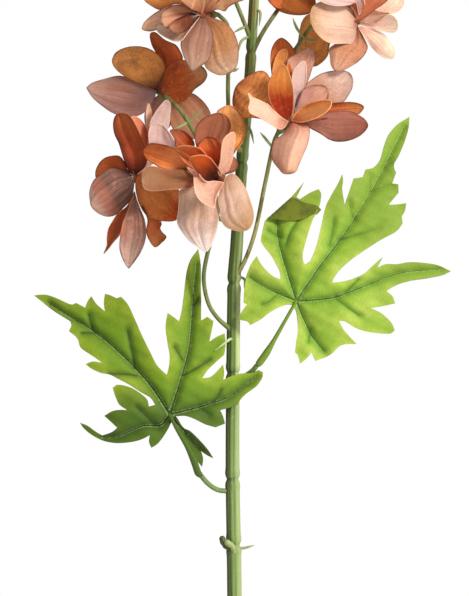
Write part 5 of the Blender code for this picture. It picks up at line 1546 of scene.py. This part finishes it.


# %% [markdown]
# ## Dyed cloth
# Each petal is dyed in three tones: one at its claw, one over its body and one at its tip. The claw's tone is
# partly dye and partly painted shade, dark where the petals crowd into the flower's hollow. The dye is
# uneven:
# it runs along the folds, pools in blotches, and gathers in a dark line at the cut edge. Some petals also
# carry a print of specks, streaks, pale veins or pleats, and some painted shade along one side. The finish
# reads the tones and the prints from the mesh, and everything else from where a spot lies on the petal.

# %% The dyes, as red, green and blue for body, tip and claw
TONES = ("body", "tip", "claw")
DYES = {
    "amber": ((252, 162, 74), (212, 128, 66), (168, 50, 14)),
    "honey": ((216, 138, 78), (244, 155, 84), (158, 64, 28)),
    "gold": ((252, 164, 86), (248, 168, 100), (112, 56, 44)),
    "ochre": ((238, 152, 82), (170, 100, 56), (176, 70, 34)),
    "copper": ((202, 106, 58), (204, 124, 70), (112, 36, 12)),
    "rust": ((250, 150, 88), (214, 108, 50), (116, 36, 14)),
    "brick": ((232, 98, 44), (222, 126, 76), (116, 30, 12)),
    "ember": ((226, 92, 24), (214, 104, 34), (66, 14, 4)),
    "russet": ((188, 85, 44), (204, 106, 54), (84, 18, 6)),
    "sienna": ((226, 132, 70), (206, 80, 32), (176, 94, 50)),
    "cinnamon": ((216, 98, 46), (250, 186, 128), (94, 40, 24)),
    "bronze": ((166, 95, 42), (168, 87, 40), (108, 50, 24)),
    "chestnut": ((122, 58, 34), (192, 130, 98), (44, 6, 2)),
    "umber": ((161, 95, 68), (172, 102, 68), (112, 64, 50)),
    "clay": ((220, 96, 44), (166, 99, 72), (112, 44, 24)),
    "coral": ((216, 120, 80), (220, 138, 100), (194, 112, 84)),
    "buff": ((202, 135, 100), (212, 158, 127), (116, 62, 40)),
    "apricot": ((204, 152, 110), (222, 160, 118), (142, 68, 36)),
    "salmon": ((222, 168, 141), (242, 180, 144), (190, 115, 88)),
    "peach": ((238, 184, 158), (248, 190, 152), (186, 124, 95)),
    "rose": ((201, 143, 125), (230, 166, 130), (152, 112, 110)),
    "dusk": ((176, 113, 94), (182, 104, 80), (122, 76, 65)),
    "taupe": ((168, 112, 93), (220, 184, 165), (142, 96, 79)),
    "dove": ((169, 119, 97), (184, 145, 120), (134, 86, 71)),
    "mauve": ((132, 90, 74), (192, 148, 130), (113, 78, 72)),
    "lilac": ((181, 121, 99), (183, 141, 119), (186, 142, 138)),
    "straw": ((182, 123, 77), (222, 182, 147), (141, 76, 52)),
    "fawn": ((161, 108, 70), (166, 123, 87), (142, 71, 56)),
    "tan": ((221, 182, 158), (187, 142, 95), (162, 111, 85)),
    "cream": ((206, 161, 133), (238, 218, 208), (176, 134, 110)),
    "ivory": ((255, 206, 180), (255, 232, 200), (224, 160, 132)),
    "shell": ((196, 145, 117), (238, 201, 182), (150, 100, 80)),
    "blush": ((211, 176, 166), (215, 177, 162), (164, 110, 90)),
}


# %% The petals' finish
def make_petal_cloth():
    cloth = Finish("dyed_petal_cloth", IOR=1.35, Sheen_Weight=0.06, Sheen_Roughness=0.5)
    v, u, seed = cloth.parts(cloth.attribute("petal"))
    flat = cloth.attribute("cloth")
    x, y, _ = cloth.parts(flat)
    body, tip, claw = (cloth.attribute("tone_" + tone) for tone in TONES)
    speckled, streaked, veined, pleated, fanned = (cloth.attribute(name, "Fac") for name in PRINTS)
    fields = ("edge", "light_rim", "dip", "painted_shade")
    edge, light_rim, dip, painted_shade = (cloth.attribute(field, "Fac") for field in fields)
    fan = cloth.node("ShaderNodeCombineXYZ", None, {0: v * 4.0, 1: u * 0.9, 2: seed})
    ribs = cloth.noise(fan, 1.0, 4.0, 0.6)
    fine_ribs = cloth.noise(cloth.stretched(fan, (3.5, 2.0, 1.0)), 1.0, 3.0, 0.6)
    blotch = cloth.noise(flat, 0.12, 4.0, 0.6)
    mottle = cloth.noise(flat, 0.42, 5.0, 0.65)
    grain = cloth.noise(flat, 1.4, 3.0, 0.7)
    rise = u + 0.3 * (blotch - 0.5) + 0.25 * (ribs - 0.5)
    pale = cloth.between(mottle, 0.52, 0.68) * cloth.between(blotch, 0.28, 0.55)
    # The claw's tone is partly dye and partly painted shade deep in the flower.
    colour = cloth.coated(
        claw,
        (body, cloth.between(rise, dip - 0.42, dip)),
        (tip, cloth.between(rise, 0.45, 1.0)),
        (claw, (0.2 - 0.1 * light_rim) * cloth.between(ribs, 0.48, 0.72)),
        (cloth.dimmed(tip, 1.08), 0.18 * cloth.between(fine_ribs, 0.5, 0.72)),
        (claw, 0.4 * cloth.between(blotch, 0.5, 0.74)),
        (cloth.dimmed(tip, 1.2), 0.32 * pale),
    )
    dusk = cloth.between(cloth.noise(cloth.stretched(flat, (1.0, 0.7, 1.3)), 0.1, 2.0), 0.5, 0.68)
    dusky = cloth.blend(colour, paint(176, 138, 146), 1.0, "MULTIPLY")
    specks = cloth.between(grain, 0.52, 0.64) * cloth.between(mottle, 0.34, 0.6)
    streaks = cloth.between(cloth.noise(cloth.stretched(fan, (1.6, 1.4, 3.0)), 1.0, 2.0), 0.48, 0.66)
    middle = 1.0 - cloth.between(v.maths("ABSOLUTE", v), 0.3, 0.85)
    slant = (x + 0.55 * y).maths("SINE", 1.1 * x + 0.85 * y + 0.7 * mottle)
    bent = cloth.noise(cloth.stretched(flat, (0.1, 0.05, 1.0)), 1.0, 2.0)
    pleats = 0.5 + 0.5 * y.maths("SINE", 3.4 * y + 14.0 * bent)
    creased = pleated * cloth.between(pleats, 0.5, 0.95) * cloth.between(mottle, 0.36, 0.56)
    fan_lines = 0.5 + 0.5 * v.maths("SINE", 21.0 * v + 9.0 * ribs)
    reach = cloth.between(u, 0.04, 0.2) * (1.0 - cloth.between(u, 0.58, 0.86))
    reach = reach * cloth.between(fan_lines, 0.4, 0.95)
    belt = cloth.between(u, 0.5, 0.58) * (1.0 - cloth.between(u, 0.68, 0.74))
    colour = cloth.coated(
        colour,
        (dusky, 0.25 * dusk),
        (cloth.dimmed(claw, 0.7), specks * (0.14 + 0.56 * speckled)),
        (cloth.dimmed(claw, 1.15), 0.38 * streaked * streaks * middle),
        (cloth.dimmed(tip, 1.25), 0.5 * veined * cloth.between(slant, 0.82, 0.99)),
        (cloth.dimmed(claw, 0.6), 0.36 * creased),
        (cloth.dimmed(claw, 0.8), 0.6 * fanned * reach),
        (paint(168, 98, 76), 0.55 * fanned * belt),
        # Painted shade along one side.
        (cloth.dimmed(claw, 0.8), painted_shade * (0.7 + 0.6 * blotch)),
    )
    band = cloth.between(edge**0.45, 0.15, 0.9) * (1.0 - 0.9 * light_rim)
    dark_rim = cloth.between(edge + 0.35 * (mottle - 0.5), 0.5, 0.82) * (1.0 - light_rim)
    worn_rim = cloth.between(cloth.noise(flat, 0.16, 3.0), 0.38, 0.56)
    # The light rim is partly the cloth's own pale edge and partly painted light, where the edge turns away
    # from the lamp.
    pale_rim = cloth.blend(cloth.dimmed(tip, 1.3), paint(255, 226, 190), 0.25)
    colour = cloth.coated(
        cloth.dimmed(colour, 1.06),
        (cloth.dimmed(claw, 0.9), 0.16 * band),
        (cloth.dimmed(claw, 0.36), dark_rim * (0.12 + 0.48 * worn_rim)),
        (pale_rim, 0.55 * light_rim * cloth.between(edge, 0.6, 0.92)),
    )
    coarse = 0.34 + 0.46 * speckled
    cloth.use("Base Color", cloth.dimmed(colour, (1.0 + coarse * (grain - 0.5)) ** 2.2))
    cloth.use("Roughness", 0.78 + 0.15 * mottle)
    weave = cloth.noise(cloth.stretched(flat, (4.5, 4.5, 1.0)), 1.0, 1.0)
    relief = 0.5 * ribs + 0.45 * fine_ribs + 0.3 * mottle + 0.12 * weave + 0.22 * pleats * pleated
    cloth.raise_by(relief, 0.5)
    return cloth.material


PETAL_CLOTH = make_petal_cloth()

# %% The flowers
CLOTH_THICKNESS = 0.4
PETAL_ROWS, PETAL_COLUMNS = 46, 33
UPPER_ROWS, UPPER_COLUMNS = 24, 15
SHOWN_SEED, UPPER_SEED = 100, 200


def make_flower(name, petals, rows, columns, seed):
    """All the petals of one flower, as one piece."""
    random = np.random.default_rng(seed)
    triangles = sheet_triangles(rows, columns)
    solids, faces, values, count = [], [], {}, 0
    for petal in petals:
        grid, spots = petal_grid(petal, rows, columns, random)
        solid, closed = thickened(merged_ends(grid), triangles, CLOTH_THICKNESS)
        for tone, dye in zip(TONES, DYES[petal["dye"]]):
            spots["tone_" + tone] = np.broadcast_to(paint(*dye), (*grid.shape[:2], 3))
        for key, spot_values in spots.items():
            values.setdefault(key, []).extend([merged_ends(spot_values)] * 2)
        solids.append(solid)
        faces.append(closed + count)
        count += len(solid)
    values = {key: np.concatenate(parts) for key, parts in values.items()}
    piece = add_piece(name + "_petals", np.concatenate(solids), np.concatenate(faces), PETAL_CLOTH, values)
    hand_in(piece, "petal_cloth", name)


for seed, (key, flower) in enumerate(FLOWERS.items(), SHOWN_SEED):
    make_flower("flower_" + key, shown_petals(key, flower), PETAL_ROWS, PETAL_COLUMNS, seed)
for number, flower in enumerate(SPIRAL):
    name, seed = f"flower_upper_{number + 1:02d}", UPPER_SEED + number
    make_flower(name, flower["petals"], UPPER_ROWS, UPPER_COLUMNS, seed)

# %% [markdown]
# ## Stalks, calyxes, bracts and stubs
# Each flower sits on a calyx at the end of its own stalk. Beside the stalks the mould leaves thin bracts and
# the stub of a trimmed shoot. Their lines are those of the solids, read more finely, and the cane tree makes
# them all. The stem's solid stands for them too, so only the stem's own piece names it.

# %% Where the stalks run
CALYX_LENGTH = 5.0
CALYX_RADIUS = 2.3
STALK_RADIUS = 0.95
SEAT_GAP = 0.3
STALKS = {
    "right": [(5, -1, 418), (9, -3.5, 425), (13.5, -7, 438), (17.6, -12, 458), (21.6, -15.5, 477)],
    "front": [(2.4, -1, 392.5), (-3.8, -4, 397.9), (-8.2, -7, 405), (-10.2, -10, 416),
              (-8.6, -12, 427), (-5, -14, 440), (-2, -20, 454.5)],
    "low_left": [(5.6, 0, 440), (-6, -1, 445), (-22, -3, 453), (-34, -4, 460)],
    "back_left": [(6, 0, 454), (-6, -1, 467), (-14.5, -0.5, 483), (-21.5, 0.5, 494)],
    "top_left": [(7.2, -1, 474), (2.2, -6, 483), (0.9, -7, 500), (1.2, -7.5, 520), (0.6, -9, 532)],
    "top_right": [(9.4, 0.5, 492), (15, 3, 500), (24, 3, 511), (31.5, -2, 521),
                  (38.5, -8.5, 531), (44, -12.5, 535.4)],
    "top_middle": [(11.6, -0.5, 519), (16.8, -1, 529), (22, 2.5, 537)],
}
LOWEST_SPIRAL_STALK = [(11.6, -0.4, 525), (9.4, -2.2, 531), (5, -3.2, 541.9)]
STALK_SECTION = (18, 5, 0.05)
ROOT_POINTS, ROOT_SWELL, ROOT_SHADE = 3.0, 0.55, 0.5
SPIRAL_STALK_DROP, SPIRAL_STALK_OUT, SPIRAL_STALK_UP = 0.75, 0.3, 0.32
WARM_RIGHT_OF, WARM_BELOW = 4.5, 480.0
STALK_WARMTH = 0.35
CALYX_SHADE = 0.25


def stalk(line, middle, facing):
    """A stalk and the calyx at its end, behind the knob of its flower: its line, radii and shade."""
    facing = unit(facing)
    seat = np.asarray(middle, float) - facing * (KNOB_LENGTH / 2 + SEAT_GAP)
    run = smooth_line([*line, seat - facing * CALYX_LENGTH])
    root = np.exp(-np.arange(len(run)) / ROOT_POINTS)
    radii = STALK_RADIUS * (1.0 + ROOT_SWELL * root)
    shares = np.linspace(0, 1, 11)[1:]
    cup = [seat - facing * CALYX_LENGTH * (1 - share) for share in shares]
    flare = STALK_RADIUS + (CALYX_RADIUS - STALK_RADIUS) * np.sin(shares * math.pi / 2) ** 1.5
    shade = np.concatenate([ROOT_SHADE * root, CALYX_SHADE * shares])
    return np.concatenate([run, cup]), np.concatenate([radii, flare]), shade


def spiral_stalk(flower):
    """A short stalk that leaves the stem below its flower."""
    middle = flower["middle"]
    reach = float(np.linalg.norm((middle - stem_at(middle[2]))[:2]))
    root = stem_at(middle[2] - SPIRAL_STALK_DROP * reach)
    bend = root + flower["outward"] * SPIRAL_STALK_OUT * reach + (0.0, 0.0, SPIRAL_STALK_UP * reach)
    return stalk([root, bend], middle, flower["facing"])


def make_stalks():
    made = [stalk(STALKS[key], flower["middle"], flower["faces"]) for key, flower in FLOWERS.items()]
    made.append(stalk(LOWEST_SPIRAL_STALK, SPIRAL[0]["middle"], SPIRAL[0]["facing"]))
    made += [spiral_stalk(flower) for flower in SPIRAL[1:]]
    lines, radii, shades = zip(*made)
    mesh = canes("flower_stalks", lines, radii, STEM_GREEN, *STALK_SECTION, shades)
    places = vertex_places(mesh)
    right = (places[:, 0] > WARM_RIGHT_OF) & (places[:, 2] < WARM_BELOW)
    add_values(mesh, "warm", np.where(right, 1.0, STALK_WARMTH))
    hand_in(add_mesh("flower_stalks", mesh), "stem_green")


make_stalks()

# %% Bracts and the trimmed shoot
BRACTS = [
    [(7, -1.5, 487), (11, -4, 484.5), (12.8, -6, 478)],
    [(21.4, -15.2, 476), (18.6, -16, 479.5), (15.6, -17, 483)],
    [(-17, 0.5, 488.5), (-20, -2, 486.5), (-24, -4, 484.6)],
    [(-17, 0.5, 488.5), (-14, 0, 491), (-10.8, -0.5, 494)],
    [(35.5, -6, 527), (32.5, -8, 531), (30.6, -10, 535.6)],
    [(35.5, -6, 527), (38.5, -9, 525.5), (41.5, -11.5, 525)],
    [(10.6, -1.5, 527.5), (7, -3, 525), (5.6, -4, 520)],
    [(10, -2, 531.8), (7.4, -3, 531.2), (3.4, -3.4, 529)],
    [(14, -1, 540), (15.8, -2.5, 538), (15.2, -3.5, 532)],
    [(1.2, -7.5, 512), (3.6, -8.5, 511.5), (6, -9.5, 512.5)],
    [(5.6, -0.5, 417), (8.6, -2.5, 415.5), (8.4, -3.5, 411.5)],
    [(2.6, -2, 388.2), (1.2, -8, 387.8), (-5, -9.6, 383)],
    [(5.6, -0.8, 292), (8.6, -1.5, 292.2), (13, -2, 293.4)],
]
BRACT_SIDES = 14
BRACT_RADII = (0.6, 0.62, 0.68, 0.55, 0.12)
# How dry the bracts look, and how much painted light they carry.
BRACT_WARMTH, BRACT_PAINTED_LIGHT = 0.3, 0.75
SHOOT_STUB = [(3.8, -2.6, 290), (2.9, -4.6, 293), (1, -5.2, 294.4), (-0.4, -5, 295.8)]
SHADED_STUB = [(1.6, -2.4, 291.4), (-0.6, -3.2, 293.6), (-1.6, -2.8, 296), (-1.4, -2, 297.6)]
STUB_RADII = (0.9, 1.0, 1.4, 1.2, 1.55, 1.35, 1.55, 1.3, 0.5)


def make_bracts():
    lines = [smooth_line(line) for line in [*BRACTS, SHOOT_STUB]]
    radii = [thickness_along(line, BRACT_RADII) for line in lines[:-1]]
    radii.append(thickness_along(lines[-1], STUB_RADII))
    mesh = canes("bracts", lines, radii, STEM_GREEN, BRACT_SIDES)
    # The bracts and the first stub carry painted light.
    add_values(mesh, "side", np.full(len(mesh.vertices), BRACT_PAINTED_LIGHT))
    add_values(mesh, "warm", np.full(len(mesh.vertices), BRACT_WARMTH))
    hand_in(add_mesh("bracts", mesh), "stem_green")
    # The second stub is in painted shade.
    line = smooth_line(SHADED_STUB)
    radii, shades = [thickness_along(line, STUB_RADII)], [np.ones(len(line))]
    mesh = canes("shaded_stub", [line], radii, STEM_GREEN, BRACT_SIDES, shades=shades)
    add_values(mesh, "side", np.full(len(mesh.vertices), -1.0))
    hand_in(add_mesh("shaded_stub", mesh), "stem_green")


make_bracts()

# %% Closed buds on the tip of the stem
BUD_COUNT = 9
BUD_FIRST_HEIGHT = 748.0
BUD_SPACING = 5.6
BUD_RADII = (3.4, 1.9)
BUD_REACHES = (0.0, 0.35, 0.8, 1.3, 1.9, 2.5, 2.95, 3.2)
BUD_WIDTHS = (0.24, 0.62, 0.93, 1.0, 0.93, 0.7, 0.36, 0.06)
BUD_STALK_RADII = (0.6, 0.7)
BUD_SECTION = (30, 5, 0.09)
BUD_ROOT_DROP = 4.0
BUD_STALK_LENGTH, BUD_STALK_LESS = 9.0, 4.0
BUD_CROWDING, BUD_NOD = 0.85, 0.9


def bud(index):
    """A closed bud on a short stalk from the tip of the stem: its line and radii."""
    share = index / (BUD_COUNT - 1)
    angle = SPIRAL_START + GOLDEN_ANGLE * (SPIRAL_COUNT + index)
    outward = np.array([math.cos(angle), math.sin(angle), 0.0]) * (1 - BUD_CROWDING * share)
    facing = unit(outward + (0.0, 0.0, BUD_NOD + share))
    size = np.interp(share, (0, 1), BUD_RADII)
    height = BUD_FIRST_HEIGHT + BUD_SPACING * index - BUD_ROOT_DROP
    root = stem_at(min(height, STEM_LINE[-1][2] - 1.0))
    seat = root + facing * (BUD_STALK_LENGTH - BUD_STALK_LESS * share)
    reaches = np.interp(np.linspace(0, 7, 22), range(8), BUD_REACHES)
    widths = np.interp(reaches, BUD_REACHES, BUD_WIDTHS)
    line = np.concatenate([[root, (root + seat) / 2], seat + facing * (size * reaches)[:, None]])
    return line, np.concatenate([BUD_STALK_RADII, size * widths])


def make_buds():
    lines, radii = zip(*(bud(index) for index in range(BUD_COUNT)))
    mesh = canes("buds", lines, radii, STEM_GREEN, *BUD_SECTION)
    hand_in(add_mesh("buds", mesh), "stem_green")


make_buds()

# %% [markdown]
# ## The hearts of the flowers
# The petals are pushed onto a plastic knob, and a tuft of pale threads stands in its middle. A second
# Geometry Nodes tree makes the tuft: it strews points over a small square and puts a bent thread on each,
# leaning a random way, of random length. Each flower gives it its own fixed seed.

# %% A tree for a tuft of threads
THREAD_RADIUS = 0.1
THREAD_LENGTH = 6.5
TUFT_RADIUS = 0.9
THREAD_BEND, THREAD_LEAN = 0.45, 0.45
THREAD_LENGTHS = (0.7, 1.15)


def tuft_tree():
    inputs = {"Threads": "Int", "Length": "Float", "Seed": "Int", "Finish": "Material"}
    nodes, given = new_tree("tuft", inputs)
    seed = given["Seed"]
    flat = TUFT_RADIUS * MM
    sockets = {0: (-flat, -flat, 0.0), 1: (flat, flat, 0.0), 8: seed}
    spots = nodes.node("FunctionNodeRandomValue", {"data_type": "FLOAT_VECTOR"}, sockets)
    points = nodes.node("GeometryNodePoints", None, {"Count": given["Threads"], "Position": spots})
    ends = {"Start": (0.0, 0.0, 0.0), "Middle": (0.0, 0.0, 0.6), "End": (THREAD_BEND, 0.0, 1.0)}
    thread = nodes.node("GeometryNodeCurveQuadraticBezier", None, {"Resolution": 8, **ends})
    profile = nodes.node("GeometryNodeCurvePrimitiveCircle", None, {"Resolution": 6, "Radius": 1.0})
    share = nodes.node("GeometryNodeSplineParameter")
    reach = (1.0 - 0.4 * share) * (THREAD_RADIUS / THREAD_LENGTH)
    sockets = {"Curve": thread, "Profile Curve": profile, "Scale": reach, "Fill Caps": True}
    long_thread = nodes.node("GeometryNodeCurveToMesh", None, sockets)
    low, high = (-THREAD_LEAN, -THREAD_LEAN, 0.0), (THREAD_LEAN, THREAD_LEAN, math.tau)
    sockets = {0: low, 1: high, 8: seed + 11.0}
    turn = nodes.node("FunctionNodeRandomValue", {"data_type": "FLOAT_VECTOR"}, sockets)
    sockets = {2: THREAD_LENGTHS[0], 3: THREAD_LENGTHS[1], 8: seed + 23.0}
    length = nodes.node("FunctionNodeRandomValue", {"data_type": "FLOAT"}, sockets, 1)
    lean = nodes.node("FunctionNodeEulerToRotation", None, {0: turn})
    sockets = {"Points": points, "Instance": long_thread, "Rotation": lean, "Scale": length * given["Length"]}
    return end_tree(nodes, nodes.node("GeometryNodeInstanceOnPoints", None, sockets), given["Finish"])


# %% A heart for each flower
THREADS = 12
THREAD_SIZES = {"flower_right": 0.9, "flower_front": 0.45, "flower_low_left": 0.4}
USUAL_THREADS = 0.6
TUFT_AT = 0.45
SMALL_KNOBS = {"flower_top_right": 0.6}
KNOB_SECTION = (24, 8, 0.04)
KNOB_REACHES = (-0.5, -0.42, -0.1, 0.25, 0.44, 0.5)
KNOB_WIDTHS = (0.6, 0.66, 0.7, 0.6, 0.42, 0.28)


def make_thread_cotton():
    cotton = Finish("thread_cotton", Roughness=0.7, IOR=1.4)
    tone = cotton.noise(cotton.place(), 0.3)
    cotton.use("Base Color", cotton.blend(paint(238, 226, 206), paint(222, 196, 160), tone))
    return cotton.material


def make_knob_felt():
    """The knob is painted dark brown, as painted shade in the heart of the flower."""
    felt = Finish("stained_knob", Roughness=0.85, IOR=1.4)
    spot = felt.place()
    painted_shade = felt.noise(spot, 0.5, 4.0)
    felt.use("Base Color", felt.blend(paint(92, 44, 26), paint(150, 86, 58), painted_shade))
    felt.raise_by(felt.noise(spot, 1.8, 3.0), 0.2)
    return felt.material


def frame_on(middle, facing):
    """The matrix that stands something on a flower's knob, looking the way the flower faces."""
    turn = Vector(facing).to_track_quat("Z", "Y").to_matrix().to_4x4()
    return Matrix.Translation(Vector(middle) * MM) @ turn


def make_hearts():
    tree, cotton = tuft_tree(), make_thread_cotton()
    flowers = [("flower_" + key, flower["middle"], flower["faces"]) for key, flower in FLOWERS.items()]
    for number, flower in enumerate(SPIRAL):
        flowers.append((f"flower_upper_{number + 1:02d}", flower["middle"], flower["facing"]))
    knobs, radii = [], []
    for seed, (name, middle, facing) in enumerate(flowers):
        facing = unit(facing)
        length = THREAD_LENGTH * THREAD_SIZES.get(name, USUAL_THREADS) * MM
        given = {"Threads": THREADS, "Length": length, "Seed": seed, "Finish": cotton}
        tuft = grown(name, bpy.data.meshes.new(name), tree, given)
        tuft.transform(frame_on(middle + facing * KNOB_LENGTH * TUFT_AT, facing))
        hand_in(add_mesh(name + "_threads", tuft), "petal_cloth")
        knobs.append(np.array([middle + facing * KNOB_LENGTH * reach for reach in KNOB_REACHES]))
        radii.append(KNOB_RADIUS * SMALL_KNOBS.get(name, 1.0) * np.array(KNOB_WIDTHS))
    mesh = canes("flower_knobs", knobs, radii, make_knob_felt(), *KNOB_SECTION)
    hand_in(add_mesh("flower_knobs", mesh), "petal_cloth")


make_hearts()
